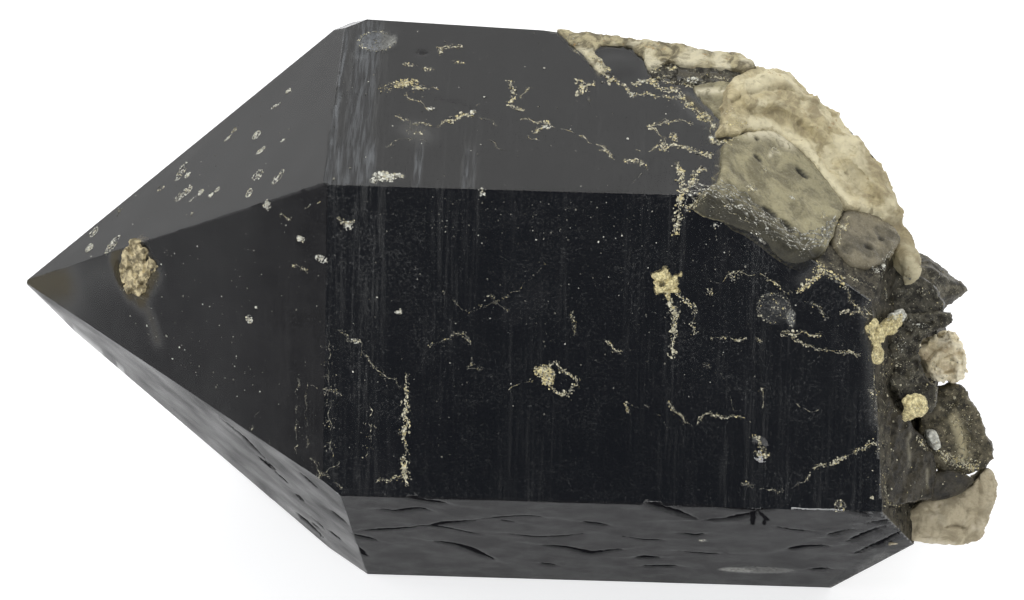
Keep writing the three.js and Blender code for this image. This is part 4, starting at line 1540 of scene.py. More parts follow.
@dataclass
class GrainHeaps:
    """All the loose grains, gathered into one piece for each finish.

    Args:
        ground: what they lie on.
        seed: seeds the shapes and places.
        batch: how many grains are made before they are added to their heap.
    """

    ground: Ground
    seed: int = 7
    batch: int = 60
    chance: random.Random = field(init=False)
    heaps: dict[Finish, Shape] = field(init=False, default_factory=dict)
    fresh: dict[Finish, Shape] = field(init=False, default_factory=dict)
    waiting: dict[Finish, int] = field(init=False, default_factory=dict)

    def __post_init__(self) -> None:
        """Starts the random numbers."""
        self.chance = random.Random(self.seed)

    def _empty(self, finish: Finish) -> None:
        """Moves the fresh grains of one finish into their heap."""
        fresh = self.fresh.pop(finish)
        carrier = bpy.data.meshes.new("carrier")
        fresh.to_mesh(carrier)
        fresh.free()
        self.heaps.setdefault(finish, bmesh.new()).from_mesh(carrier)
        bpy.data.meshes.remove(carrier)
        self.waiting[finish] = 0

    def grain(
        self, finish: Finish, surface: Surface, along: float, across: float, size: float,
        flat: float = 0.36, long: float = 1.0, turn: float | None = None,
    ) -> None:
        """Lays one grain.

        Args:
            finish: its finish.
            surface: what it lies on.
            along: its place along the surface.
            across: its place across the surface.
            size: half its width.
            flat: its thickness as a share of its width.
            long: its length as a share of its width.
            turn: its turn about the surface's normal, in radians, or None for any.
        """
        spin = self.chance.uniform(0.0, math.tau) if turn is None else turn
        rest = self.ground.drop(surface, along, across, spin)
        if rest is None:
            return
        if finish not in self.fresh:
            self.fresh[finish] = bmesh.new()
        bm = self.fresh[finish]
        matrix = rest @ Matrix.Translation((0.0, 0.0, size * flat * 0.3))
        shape = Matrix.Diagonal((size * long, size, size * flat, 1.0))
        tilt = Euler((self.chance.uniform(-0.4, 0.4), self.chance.uniform(-0.4, 0.4), 0.0))
        made = bmesh.ops.create_icosphere(
            bm, subdivisions=1, radius=1.0, matrix=matrix @ tilt.to_matrix().to_4x4() @ shape
        )
        for vertex in made["verts"]:
            nudge = [self.chance.uniform(-0.3, 0.3) * size for _ in range(3)]
            vertex.co += Vector(nudge)
        self.waiting[finish] = self.waiting.get(finish, 0) + 1
        if self.waiting[finish] >= self.batch:
            self._empty(finish)

    def _pick(self, mix: Mix) -> Finish:
        """Picks a finish by its share."""
        draw = self.chance.random()
        for finish, share in mix:
            draw -= share
            if draw <= 0.0:
                return finish
        return mix[0][0]

    def _size(self, grain: float) -> float:
        """A grain size round the usual one."""
        return 0.7 * min(grain * math.exp(self.chance.gauss(0.0, 0.45)), grain * 2.4)

    def _stray(self, ends: tuple[Point, Point], part: float, place: float, aside: Point) -> Point:
        """A place on a vein, which wanders sideways.

        Args:
            ends: the corners on either side of it.
            part: how far it is from the first to the second, from 0 to 1.
            place: how far it is along the whole vein.
            aside: the vein's own shift and how far this place strays from the middle.

        Returns:
            The place, along and across the surface.
        """
        (a0, b0), (a1, b1) = ends
        shift, sideways = aside
        wander = noise.noise(Vector((place * 0.9, shift, 9.0))) * VEIN_WANDER + sideways
        wander /= math.dist(*ends)
        return a0 + (a1 - a0) * part - (b1 - b0) * wander, b0 + (b1 - b0) * part + (a1 - a0) * wander

    def _lay_thread(self, surface: Surface, points: Line, style: Style, mix: Mix, shift: float) -> None:
        """Lays the thin broken line in the middle of a vein.

        Args:
            surface, points: what the vein is on, and its corners.
            style, mix: how it is laid, and the share of each finish.
            shift: moves the pattern that breaks it.
        """
        line: list[Point] = []
        travelled = 0.0
        for ends in zip(points, points[1:]):
            length = math.dist(*ends)
            steps = max(2, round(length / 0.3))
            for part in (index / steps for index in range(steps)):
                line.append(self._stray(ends, part, travelled + part * length, (shift, 0.0)))
            travelled += length
        for number, ((a0, b0), (a1, b1)) in enumerate(zip(line, line[1:])):
            if noise.noise(Vector((number * 0.3, shift, 5.0))) * 0.9 + 0.42 > style.cover:
                continue
            size = style.grain * self.chance.uniform(0.14, 0.42)
            turn = math.atan2(b1 - b0, a1 - a0)
            long = min(math.hypot(a1 - a0, b1 - b0) * 0.75 / size, 7.0)
            middle = (a0 + a1) / 2.0, (b0 + b1) / 2.0
            self.grain(self._pick(mix), surface, *middle, size, 0.5, long, turn)

    def lay_vein(self, surface: Surface, points: Line, style: Style, mix: Mix) -> None:
        """Lays the grains of a vein.

        Args:
            surface, points: what the vein is on, and its corners.
            style, mix: how it is laid, and the share of each finish.
        """
        shift = self.chance.uniform(0.0, 500.0)
        self._lay_thread(surface, points, style, mix, shift)
        travelled = 0.0
        for ends in zip(points, points[1:]):
            length = math.dist(*ends)
            count = max(2, round(length / (style.grain * 0.42)))
            heading = math.atan2(ends[1][1] - ends[0][1], ends[1][0] - ends[0][0])
            for index in range(count):
                part = (index + self.chance.random()) / count
                place = travelled + part * length
                there = noise.noise(Vector((place * 0.8, shift, 3.0))) * 0.75 + 0.5
                if there > style.cover:
                    continue
                sideways = self.chance.gauss(0.0, style.spread * 1.1)
                where = self._stray(ends, part, place, (shift, sideways))
                size = self._size(style.grain) * (0.36 + 0.75 * max(0.0, style.cover - there))
                turn = heading + self.chance.gauss(0.0, 0.5)
                long = self.chance.uniform(0.9, 1.5)
                self.grain(self._pick(mix), surface, *where, size, 0.32, long, turn)
            travelled += length

    def lay_patch(self, patch: Oval, count: int, grain: float, mix: Mix) -> None:
        """Lays a patch of grains, which is densest in the middle.

        Args:
            patch: its place and outline.
            count, grain: the number of grains, and their size.
            mix: the share of each finish.
        """
        for _ in range(round(count * 2.4)):
            angle = self.chance.uniform(0.0, math.tau)
            reach = self.chance.random() ** 0.85
            where = patch.spot(math.cos(angle) * reach, math.sin(angle) * reach)
            size = self._size(grain) * (0.85 - 0.4 * reach)
            self.grain(self._pick(mix), patch.surface, *where, size)

    def lay_ring(self, ring: Oval, cover: float, fill: int, mix: Mix) -> None:
        """Lays the grains of an etch mark.

        Args:
            ring: its place and outline.
            cover, fill: how much of its rim has grains, and how many are inside it.
            mix: the share of each finish.
        """
        around = math.pi * (ring.radii[0] + ring.radii[1])
        count = max(8, round(around / (RING_GRAIN * 1.1)))
        shift = self.chance.uniform(0.0, 500.0)
        spots = []
        for angle in (math.tau * index / count for index in range(count)):
            there = noise.noise(Vector((math.cos(angle), math.sin(angle), shift))) * 0.9 + 0.5
            if there < cover:
                spots.append((angle, 1.0 + self.chance.gauss(0.0, 0.07)))
        for _ in range(8 + fill * 12):
            spots.append((self.chance.uniform(0.0, math.tau), self.chance.random() * 0.8))
        for angle, reach in spots:
            where = ring.spot(math.cos(angle) * reach * 0.8, math.sin(angle) * reach * 1.15)
            size = min(self._size(RING_GRAIN), RING_GRAIN * 1.5)
            self.grain(self._pick(mix), ring.surface, *where, size, 0.4)

    def dust(
        self, surface: Surface, corners: Sequence[Point], count: int, size: float, mix: Mix
    ) -> None:
        """Scatters specks over a four-cornered area.

        Args:
            surface: what they lie on.
            corners: the area's corners in order round it.
            count: how many specks.
            size: half the width of a usual speck.
            mix: their finishes.
        """
        for _ in range(count):
            u, v = self.chance.random(), self.chance.random()
            low = [corners[0][i] * (1 - u) + corners[1][i] * u for i in range(2)]
            high = [corners[3][i] * (1 - u) + corners[2][i] * u for i in range(2)]
            along, across = (low[i] * (1 - v) + high[i] * v for i in range(2))
            speck = min(size * math.exp(self.chance.gauss(0.0, 0.55)), size * 3.5)
            self.grain(self._pick(mix), surface, along, across, speck, 0.6)

    def build(self, finish: Finish, name: str) -> None:
        """Builds the piece that holds the grains of one finish."""
        self._empty(finish)
        finished(name, self.heaps[finish], finish, CRUST, (), 55.0)


HAIR, FINE, CLEAR = Style(0.08, 0.1, 0.42), Style(0.1, 0.12, 0.56), Style(0.13, 0.16, 0.78)
THICK, LOOSE = Style(0.16, 0.2, 0.95), Style(0.11, 0.42, 0.5)
STRAND = Style(0.12, 0.05, 0.72)
RIM: Line = (
    (-4.6, -15.9),
    (-1.7, -16.5),
    (1.5, -16.8),
    (4.9, -18),
    (8.4, -18.9),
    (11.2, -16.6),
    (12.4, -14.2),
)


VEINS: tuple[tuple[Any, ...], ...] = (
    (TOP, CLEAR, CREAMY, ((-7.9, 8.8), (-6.5, 9.2), (-5, 8.9)),
        ((0.1, 3.6), (0.5, 2.9), (1.2, 2.2), (1, 1.2)), ((0.9, 1), (0.7, -0.2), (1.4, -1.1), (2.4, -1.4)),
        ((11.4, 4.2), (12.6, 4), (13.4, 3), (14.3, 1.4)),
        ((14.2, 1.6), (15.6, 2.1), (17.2, 1.8), (18.3, 1.5), (19.4, 1.9)),
        ((15.8, 4.5), (17, 4.4), (18.4, 3.8), (20.6, 4.1), (22.2, 4.2)),
        ((16.1, -3.6), (17.7, -2.6), (19.6, -2.1), (21, -2.4))),
    (TOP, LOOSE, GOLDEN, ((24.4, -1.2), (25.7, -2.4), (24.9, -5), (24.7, -6.8)),
        ((-13.8, 1.3), (-12.4, 1.7), (-10.5, 2.2), (-8.4, 2), (-6.9, 1.5))),
    (TOP, HAIR, FAINT, ((-2.6, -2.8), (-1.4, -3.4), (-0.2, -4.2)), ((2.3, -5.2), (3.2, -6.2), (4.3, -6.1)),
        ((-2.9, -1.4), (-1.9, -0.2), (-0.9, -0.6)), ((8.6, 1.9), (9.2, 0.6), (9.7, -0.8)),
        ((-1.3, -6.4), (-0.4, -7.1), (0.7, -8.6)), ((14.5, -12.9), (15.5, -11.4), (16.7, -8.4)),
        ((-12.5, -8.5), (-11, -6.9), (-8.7, -6.8), (-7.6, -7.6))),
    (TOP, FINE, CREAMY, ((-10.9, 0.7), (-9.2, -0.6), (-7.8, -1.9)),
        ((-11.8, -3.2), (-9.7, -4), (-7.9, -4.4), (-6.6, -4.3), (-5.2, -3.6)),
        ((1.8, 0.6), (2.4, 1.6), (2.9, 2.6)), ((2, -3), (3.3, -3.1), (4.4, -3.2)),
        ((5.5, -3.7), (7.1, -4.3), (8.9, -5.5), (11.3, -7.5), (12.9, -9.3)),
        ((16.3, -3.6), (17.2, -4.1), (17.9, -5.4), (17, -7.1), (15.6, -7.5), (14.6, -7)),
        ((22.3, -3.2), (22.8, -4.2), (23, -5)), ((17.2, 5.6), (20, 5), (22.5, 5.4), (25.2, 5)),
        ((9.3, 7.6), (7.4, 8.8), (7.1, 11.1), (5.9, 12.2))),
    (TOP, THICK, CREAMY, ((-5.9, -3.6), (-4.6, -3.1), (-3.2, -1.9)),
        ((4.6, -3), (4.9, -3.9), (4.3, -4.4), (3.4, -5)), ((7.7, 4.2), (8.5, 3.6), (8.6, 2.6), (8.3, 1.4)),
        ((8.6, 2.7), (9.5, 3.2), (10, 3.9)),
        ((9.3, 7.6), (10.5, 7.1), (10.9, 5.7), (11.3, 4.9), (11.2, 3.6)),
        ((14, 3.7), (15.8, 4.5), (17.3, 3.1), (18.9, 2.9), (19.8, 1.4)),
        ((19.4, 1.7), (20.6, 0), (22.4, -1.6), (22.9, -2.6)),
        ((17.4, -7.2), (18.4, -6.4), (19.4, -6.4), (21.6, -7.4), (23, -8.2)),
        ((22.8, -5.2), (24.2, -5.4), (25.6, -5)),
        ((19.3, -9.1), (19.8, -10.6), (19.8, -12.2), (20.2, -14.2)),
        ((22.2, -10.6), (21.3, -11.1), (21, -12.1), (20.2, -14.1)),
        ((22.6, -10.3), (21.6, -10.4), (21.2, -11.4)), ((16, 5.8), (17.2, 6.6), (19, 6.6))),
    (FRONT, CLEAR, CREAMY, ((22.4, 18.3), (21.2, 17.2), (19.8, 16.6)),
        ((6, -1.4), (6.9, -0.9), (7.3, -1.6), (8.6, -2.4), (9.1, -3.2)),
        ((19.6, 7.4), (20.3, 6.8), (21.4, 5.5), (21.7, 2.6)), ((37.2, 5.6), (38.5, 5.9), (39.7, 5.7)),
        ((30.9, 2.9), (32, 2.9), (33.6, 3.2), (35.3, 3.1)), ((28.4, -8.2), (30, -10.7), (28.5, -10.2)),
        ((35, -11.8), (37.6, -11.1), (39.4, -9.8), (41.6, -8.3)),
        ((42.6, -14.1), (43.8, -16.2), (45.2, -18)), ((9.2, -3.3), (8.3, -4.2), (7, -4.3), (6.2, -3.6)),
        ((-9.3, -2.6), (-9.4, -6), (-9.3, -10), (-9.5, -13), (-9.2, -15.4))),
    (FRONT, FINE, CREAMY, ((1.7, -4.1), (3.2, -3.2), (4.2, -2.7)), ((37.7, 8.6), (38.9, 6.4), (40.4, 5)),
        ((-17.2, 14.4), (-16.2, 13.6), (-15.3, 13.9)), ((-12.6, -15), (-11, -14.3), (-9.6, -14.2)),
        ((8.5, 4.9), (8.6, 3.4), (8.6, 2)), ((11.9, 1.5), (12.9, 0.8), (13.8, 0.2)),
        ((23.4, 2.4), (26.2, 2.4), (29.1, 2.4)),
        ((23.7, 8.6), (25.4, 9.5), (27.4, 9.7), (29, 9.3), (32, 7.6)),
        ((31.3, 3.5), (32.2, 2.7), (33, 2.1)),
        ((32.6, 2.1), (33.6, 1.8), (35.9, 1.5), (38.6, 1.3), (40.3, 1)),
        ((19.3, -4.7), (19.8, -5.6), (21.8, -7.6), (22.9, -6.2)),
        ((22.9, -6.2), (24.9, -6.6), (26.8, -6.3), (28.3, -7.2)), ((14.4, -5), (14.4, -6.4)),
        ((28.9, -3), (29, -5.6))),
    (FRONT, FINE, FAINT, ((-2.3, -0.7), (-2.8, -1.8), (-0.8, -1.8)),
        ((-17, 2), (-14.6, 0.4), (-12.6, -2.4), (-9.9, -4.1)),
        ((-19.9, -4.6), (-18.2, -4.8), (-16.4, -5.3)), ((-19.8, -12.7), (-18.1, -14.3), (-15.9, -15.9)),
        ((-0.9, 6.3), (0.2, 5.6), (1.4, 4.6)), ((-19.4, -15.2), (-17.6, -13.6), (-16.4, -13.2)),
        ((-7.2, 0.6), (-5.5, 1.2), (-3.4, 2.2), (-2.8, 0.7)), ((33.2, 6.6), (34.8, 6.2), (36, 5)),
        ((27.3, -13.6), (29.3, -14.3), (31.9, -14.6), (34.9, -12.6))),
    (FRONT, THICK, CREAMY, ((-9.5, -5.6), (-9.4, -8.4), (-9.6, -9.6)), ((-9.5, -12), (-9.3, -14.6)),
        ((19.6, 18.4), (19.5, 16.9), (19.3, 15.4), (18.9, 13.6)),
        ((18.5, 7.2), (19.3, 5.3), (19.4, 2.6), (19.3, 0))),
    (FRONT, LOOSE, FAINT, ((-17.9, 0.8), (-17.9, -3.7), (-17.7, -8.1), (-17.4, -12.6)),
        ((-13.4, -6.4), (-13.3, -9.6), (-13.6, -12.4)),
        ((21.8, 17.9), (23.6, 17), (26, 16), (28.7, 14.8), (31.5, 13), (34, 11.2)),
        ((19, 6.2), (19.3, 3.4), (19.2, 0.6)),
        ((40.4, 5), (41.1, 1.6), (41.7, -3.9), (42.3, -9), (42.6, -14.1))),
    (FRONT, HAIR, FAINT, ((-5.6, 6.8), (-4.6, 5.6), (-2.9, 4.3)),
        ((-2.9, 4.2), (0.9, 6), (4.2, 8.6), (5.3, 10.1)),
        ((15, -5.3), (16.8, -5.4), (18.5, -6.8), (19, -7.8)), ((26.1, -3.1), (26.2, -5.8)),
        ((33, -4.5), (34.4, -5.4), (36, -5)), ((22.6, -0.6), (24.4, -1.2), (25.2, -2.4))),
    (FRONT, THICK, GOLDEN, ((32.6, 7.6), (33.8, 9), (35.1, 9.8), (36.5, 9.6), (37.7, 8.6))),
    (TIP_FRONT, FINE, CREAMY, ((39.4, 13.7), (40.5, 13.4), (41.5, 13.3)),
        ((41.3, 8.3), (42.5, 8.1), (43.6, 8)), ((42.9, 15.1), (44.2, 15.6), (45.6, 16))),
    (TIP_FRONT, HAIR, FAINT, ((16.2, 1.6), (17.6, 0.6), (19, 1)),
        ((36.6, -8.6), (36.1, -10), (35.7, -11.3)), ((38.2, -11.4), (38.5, -12.6)),
        ((44, -3), (43.6, -7), (43.9, -12)), ((42.4, -4), (42.2, -9), (42.4, -13))),
    (SHOULDER, STRAND, DUSTY,
        *(tuple((along, across + 0.35 * line) for along, across in RIM) for line in range(3, 11))),
    (SHOULDER, CLEAR, GOLDEN, ((-1.5, -3.6), (0.1, -3.5), (1.4, -2.6)),
        ((14.5, -9.4), (14.1, -10.8), (13.6, -11.5), (12.6, -11.2)),
        ((10.8, -17.4), (11.2, -18.4), (11.6, -19.2))),
    (SHOULDER, FINE, CREAMY, ((4.3, -5.5), (4.6, -4.5), (5.4, -4.4)),
        ((-1.6, -9.4), (-2, -12.2), (-3.2, -14.2), (-4, -15.8)), ((12.4, -17), (14.6, -18), (17, -17.4)),
        ((13.1, -14.6), (13.4, -11.6), (13.6, -9.2))),
    (ROOT_SIDE, LOOSE, CREAMY, ((-8.6, 11.6), (-6.6, 10.9), (-4, 10.3)),
        ((-5.8, 6.6), (-4.8, 4.5), (-3, 2.6), (-1.9, 0.9)), ((0.6, 7), (0.2, 5), (0.4, 2.6)),
        ((3, 1.6), (3.6, -0.6), (4.4, -2.4), (4.6, -4.2))),
    (ROOT_SIDE, LOOSE, FAINT, ((-5.6, 6.2), (-5.6, 3), (-5.4, -0.5), (-5.8, -3)),
        ((-5.2, 3), (-3.6, 0.6), (-2, -0.4), (-0.6, -0.2)),
        ((-4.2, 9), (-2.6, 8.4), (-1, 8.8), (0.8, 9.4)), ((-4.8, 6.6), (-3.2, 5.4), (-1.8, 3.6)),
        ((-0.6, -6.4), (-0.4, -8.6), (-1.6, -11)), ((4.4, 0.4), (5.4, -1.6), (5.2, -3.4))),
)

SPOTS: tuple[tuple[Any, ...], ...] = (
    (TOP, 0.12, CREAMY, (15.6, -9.6, 0.7, 0.6, 12), (-8.6, 5, 0.9, 0.5, 14), (-7.4, 8.2, 0.35, 0.9, 12),
        (-5.3, 6.4, 0.7, 0.5, 12), (1.9, -1.3, 0.6, 0.25, 9), (14.4, -9.2, 1.1, 0.5, 30)),
    (TOP, 0.12, FAINT, (-9.6, -4.2, 1.3, 0.4, 14), (-9.2, -5.6, 1.2, 0.9, 16)),
    (TOP, 0.12, WHITISH, (-1.5, -14.6, 0.4, 0.3, 9)),
    (TOP, 0.15, CREAMY, (-9.3, 1.7, 1.3, 0.35, 18, -5), (-10.8, 5.6, 0.7, 0.4, 12),
        (11.3, -7.6, 0.5, 0.2, 8), (17.7, -6.2, 0.4, 0.9, 14), (8.7, 2.6, 0.6, 0.8, 26),
        (11, 6, 0.6, 0.6, 14), (23.3, -3, 0.8, 0.6, 18), (18.9, 3, 0.8, 0.5, 16),
        (16.5, -3.7, 0.6, 0.3, 10), (18.9, -5, 0.6, 0.9, 26, 10), (22.7, -7.8, 0.5, 0.6, 16, 30),
        (23.9, -5.6, 0.7, 0.5, 20)),
    (TOP, 0.15, GOLDEN, (20.4, 0.6, 0.5, 0.6, 14), (-11, 2.4, 1.6, 0.8, 100, 12),
        (22.2, -1.5, 0.9, 0.9, 60)),
    (TOP, 0.15, WHITISH, (14.1, 1.9, 0.5, 0.5, 12), (-7.9, -1.7, 0.55, 0.4, 12),
        (-3.3, -2, 0.5, 0.35, 10, 30), (-13.2, -13.9, 0.5, 0.6, 18), (15, 4.2, 0.6, 0.4, 14),
        (23, -4.9, 0.5, 0.6, 18)),
    (TOP, 0.2, WHITISH, (-10.7, -13, 0.8, 0.5, 24), (4.9, -3.9, 0.6, 0.5, 16, 20),
        (20.8, 4.5, 0.9, 0.7, 24), (-12.2, -13.2, 1.3, 0.85, 90, -14)),
    (FRONT, 0.12, FAINT, (25.6, 9, 0.9, 0.6, 12), (41, -3, 0.5, 0.8, 12)),
    (FRONT, 0.12, WHITISH, (32.1, 4.7, 0.5, 1, 12)),
    (FRONT, 0.12, CREAMY, (23.2, 7.5, 0.6, 0.5, 12)),
    (FRONT, 0.15, WHITISH, (-18.9, 9.7, 0.75, 0.4, 36, -12), (-16.1, 13.6, 0.7, 0.6, 20),
        (-10.4, 4.2, 0.45, 0.35, 16), (-1.6, 17.4, 0.45, 0.35, 9), (-15, 0.8, 0.7, 0.4, 10, -30)),
    (FRONT, 0.15, CREAMY, (19.3, 14.8, 0.5, 1, 18, 10), (19.4, 5, 0.5, 0.8, 16)),
    (FRONT, 0.15, GOLDEN, (35, 10.3, 0.9, 0.7, 34), (5.5, -2, 1.2, 0.8, 170, -12),
        (6, -2.9, 0.8, 0.7, 90, 40)),
    (LOWER_FRONT, 0.12, WHITISH, (23.4, 0.6, 0.4, 0.6, 10)),
    (TIP_TOP, 0.12, WHITISH, (26.3, -3.8, 0.8, 0.2, 10, 15), (30.7, 3.7, 0.9, 0.3, 16, 35),
        (39.7, -2.9, 0.4, 0.25, 9), (37.8, 4.5, 0.8, 0.25, 14)),
    (TIP_FRONT, 0.15, WHITISH, (35.1, 1.3, 0.5, 0.5, 24), (37.5, 14.5, 0.6, 0.6, 40),
        (42.5, 11.5, 0.6, 0.4, 30)),
    (SHOULDER, 0.12, CREAMY, (3.6, -8.2, 0.3, 0.6, 14), (11.1, -11.2, 0.4, 0.7, 16)),
    (SHOULDER, 0.12, WHITISH, (7, -10.7, 0.35, 0.25, 10)),
    (SHOULDER, 0.15, FAINT, (21.2, -15, 0.5, 0.5, 14)),
    (SHOULDER, 0.15, WHITISH, (-0.6, -16, 0.5, 0.4, 10), (19.3, -14.1, 0.5, 0.9, 26, 20)),
    (SHOULDER, 0.15, CREAMY, (2, -11.8, 0.8, 0.6, 40, 20), (13.6, -11.6, 0.6, 0.4, 26, 0)),
    (ROOT_SIDE, 0.12, CREAMY, (-1.5, 16.4, 0.9, 0.4, 12, -20), (-1, 13.9, 0.8, 0.4, 10)),
    (ROOT_SIDE, 0.12, DUSTY, (-1.6, 10.2, 1.6, 0.9, 22), (-3.4, 7.4, 1.6, 1.3, 26)),
    (ROOT_SIDE, 0.12, FAINT, (-3, 13.8, 0.9, 0.5, 12)),
    (ROOT_SIDE, 0.12, WHITISH, (-5.1, 17.8, 0.9, 0.4, 12, 10), (-6.9, 16, 0.8, 0.5, 12)),
    (ROOT_SIDE, 0.15, CREAMY, (2.6, -4.3, 1.4, 0.5, 30, -30), (-3.2, 15.3, 0.6, 0.4, 10),
        (4.2, -4.9, 2.5, 0.7, 130, -8), (-0.6, -2.9, 1.1, 0.4, 20, -50)),
    (ROOT_SIDE, 0.15, GOLDEN, (5.6, -5.6, 1.2, 0.5, 40, -30)),
    (ROOT_SIDE, 0.2, CREAMY, (-4.8, 10.9, 1.1, 0.4, 26, 12)),
)

RINGS: tuple[tuple[Any, ...], ...] = (
    (TOP, FAINT, (-14.6, 9.5, 2.3, 1.5, 8, 0.8, 2)),
    (FRONT, FAINT, (38.1, -16, 0.7, 0.6, 0, 0.9, 3), (30.4, 6, 1.2, 0.8, 0, 0.6, 1),
        (30.1, 5.9, 2.1, 1.4, 0, 0.7, 1)),
    (TIP_TOP, FAINT, (14.5, 2.3, 0.8, 0.5, 50, 0.35, 1), (20.8, 1.8, 0.8, 0.5, 40, 0.35, 1),
        (31.5, 4.5, 0.6, 0.3, 35, 0.4, 1), (26.8, -6.3, 0.6, 0.3, 20, 0.35, 0)),
    (TIP_TOP, WHITISH, (10.5, -1.3, 0.7, 0.55, 20, 1, 8), (10.8, 1.2, 0.8, 0.5, 60, 0.7, 2),
        (14.4, -3.3, 1.5, 0.6, 42, 0.75, 4), (24, 2.7, 1.5, 0.5, 62, 0.75, 2),
        (25.1, 1.3, 0.5, 0.35, 30, 0.9, 3), (24.5, -1.7, 1.1, 0.55, 35, 0.8, 3),
        (25.5, -1.6, 0.8, 0.5, 50, 0.6, 2), (27.7, -3.4, 0.5, 0.35, 20, 1, 5),
        (29.4, -5.1, 0.35, 0.25, 20, 1, 5), (30.3, -4.8, 0.4, 0.25, 20, 1, 3),
        (35.3, 1.1, 0.7, 0.5, 10, 1, 4), (36.4, -2.3, 0.8, 0.3, 15, 0.9, 3),
        (39.5, 5.8, 0.4, 0.3, 0, 0.9, 1), (36.5, -6.6, 0.9, 0.65, 50, 0.8, 3),
        (39.7, -9.1, 1.2, 0.5, 48, 0.8, 3), (35.5, -8.9, 0.55, 0.5, 0, 1, 0)),
)


def build_grains(pieces: Iterable[Piece]) -> None:
    """The veins, crumbs, etch marks and dust, laid on the finished pieces."""
    heaps = GrainHeaps(Ground(pieces))
    for surface, style, mix, *lines in VEINS:
        for line in lines:
            heaps.lay_vein(surface, line, style, mix)
    for surface, grain, mix, *rows in SPOTS:
        for along, across, long, wide, count, *turn in rows:
            heaps.lay_patch(Oval(surface, along, across, (long, wide), *turn), count, grain, mix)
    for surface, mix, *rows in RINGS:
        for along, across, long, wide, turn, cover, fill in rows:
            heaps.lay_ring(Oval(surface, along, across, (long, wide), turn), cover, fill, mix)
    front = ((-19, 17), (22, 17), (41, 1), (-20, -16))
    heaps.dust(FRONT, front, 420, 0.036, DUSTY)
    heaps.dust(FRONT, ((-8, 17), (16, 17), (16, 12), (-8, 12)), 120, 0.036, DUSTY)
    heaps.dust(TOP, ((-19, 12), (18, 12), (21, -14), (-19, -14)), 150, 0.045, DUSTY)
    heaps.dust(TIP_FRONT, ((12, 3), (44, 17), (44, -12), (20, -4)), 190, 0.045, DUSTY)
    heaps.dust(TIP_TOP, ((8, 2), (40, 8), (44, -10), (10, -4)), 60, 0.04, DUSTY)
    base = ((-8, 17), (3, 14), (8, -6), (-7, -10))
    heaps.dust(ROOT_SIDE, base, 260, 0.06, CREAMY)
    for finish, name in (
        (Finish.CREAM, "vein_cream"), (Finish.DIM, "vein_dust"), (Finish.GOLD, "vein_gold"),
        (Finish.WHITE, "vein_white"),
    ):
        heaps.build(finish, name)


# -------- studio


def outward(turn: float, rise: float) -> Vector:
    """The direction turned from -Y towards +X and then raised, in degrees."""
    turn, rise = math.radians(turn), math.radians(rise)
    level = math.cos(rise)
    return Vector((math.sin(turn) * level, -math.cos(turn) * level, math.sin(rise)))


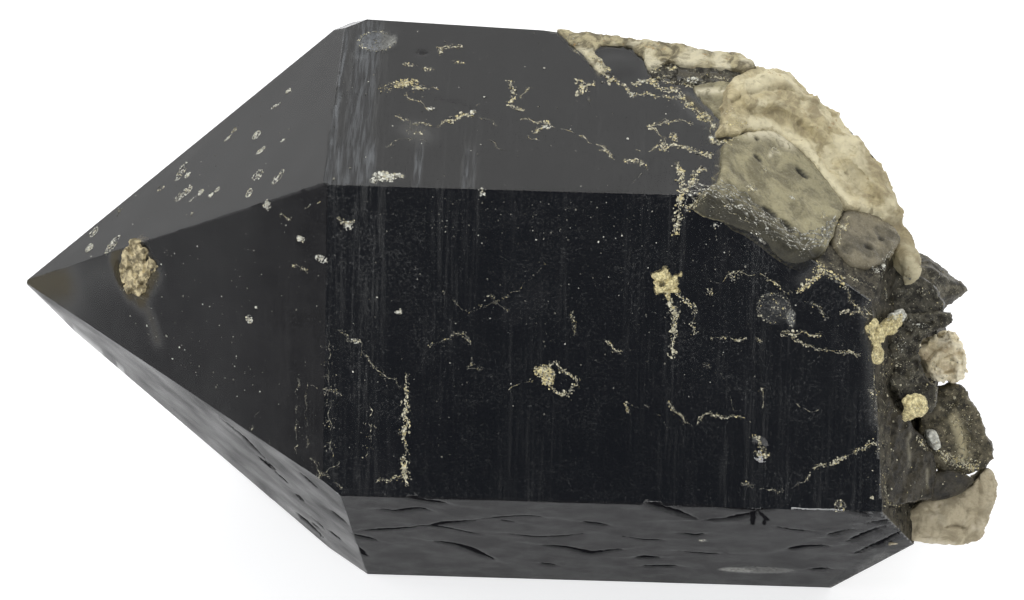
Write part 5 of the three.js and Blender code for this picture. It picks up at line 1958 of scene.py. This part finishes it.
@dataclass
class Studio:
    """Floor, soft light and camera.

    Args:
        target: what the camera looks at, in millimetres.
        turn, rise: how far it stands round from -Y towards +X and up, in degrees.
        distance, lens: how far it stands off, and its focal length, in millimetres.
    """

    target: Triple = (1.1, 0.0, 30.8)
    turn: float = 2.83
    rise: float = 43.0
    distance: float = 523.3
    lens: float = 161.0

    def _aim(self, name: str, data: bpy.types.ID, out: Vector, place: Vector) -> Piece:
        """Puts something at a place, looking back along a direction."""
        aimed = bpy.data.objects.new(name, data)
        aimed.location = place
        aimed.rotation_mode = "QUATERNION"
        aimed.rotation_quaternion = (-out).to_track_quat("-Z", "Y")
        bpy.context.scene.collection.objects.link(aimed)
        return aimed

    def _camera(self) -> None:
        """Sets up the camera."""
        data = bpy.data.cameras.new("camera")
        data.lens = self.lens
        data.sensor_width = 36.0
        data.clip_start = 0.01
        data.clip_end = 20.0
        back = outward(self.turn, self.rise)
        place = (Vector(self.target) + back * self.distance) * MM
        bpy.context.scene.camera = self._aim("camera", data, back, place)

    def _floor(self) -> None:
        """Lays the pale floor."""
        bm = bmesh.new()
        bmesh.ops.create_circle(bm, cap_ends=True, segments=64, radius=1.6)
        mesh = bpy.data.meshes.new("floor")
        bm.to_mesh(mesh)
        bm.free()
        mesh.materials.append(material_of(Finish.PAPER))
        floor = bpy.data.objects.new("floor", mesh)
        floor.location.z = -0.00005
        bpy.context.scene.collection.objects.link(floor)

    def _softbox(self, name: str, around: float, rise: float, size: float, power: float) -> None:
        """Hangs a square softbox that faces the crystal, a metre away.

        Args:
            name: its name.
            around: how far it stands round from -Y towards +X, in degrees.
            rise: its height above the horizon, in degrees.
            size: its side, in metres.
            power: its power, in watts.
        """
        data = bpy.data.lights.new(name, "AREA")
        data.shape = "SQUARE"
        data.size = size
        data.energy = power
        out = outward(around, rise)
        self._aim(name, data, out, out + Vector((0.0, 0.0, 0.03)))

    def _surroundings(self) -> None:
        """A pale room that is bright behind the crystal and dim on the near side."""
        world = bpy.data.worlds.new("room")
        world.use_nodes = True
        bpy.context.scene.world = world
        graph = Graph(world.node_tree)
        direction = graph.node("ShaderNodeTexCoord", output="Generated")
        towards_back = graph.node("ShaderNodeSeparateXYZ", {}, {0: direction}, "Y")
        lift = towards_back.above(-0.75, 0.55)
        colour = graph.blend(lift, (0.14, 0.16, 0.21), (1.1, 1.1, 1.1))
        room = graph.node("ShaderNodeBackground", {}, {"Color": colour, "Strength": 1.0})
        graph.end("World", Surface=room)

    def build(self) -> None:
        """Sets up the whole studio."""
        self._camera()
        self._floor()
        self._surroundings()
        self._softbox("top_softbox", 180.0, 82.0, 0.5, 2.4)
        self._softbox("front_softbox", 12.0, 40.0, 0.4, 3.2)
        self._softbox("left_softbox", -65.0, 36.0, 0.4, 2.4)
        scene = bpy.context.scene
        scene.view_settings.view_transform = "Standard"
        scene.view_settings.look = "None"


# -------- everything


def main() -> None:
    """Builds the studio and every piece."""
    Studio().build()
    pieces = [MainCrystal().build()]
    pieces += [rock.build() for rock in ROCKS]
    build_grains(pieces)


if __name__ == "__main__":
    main()
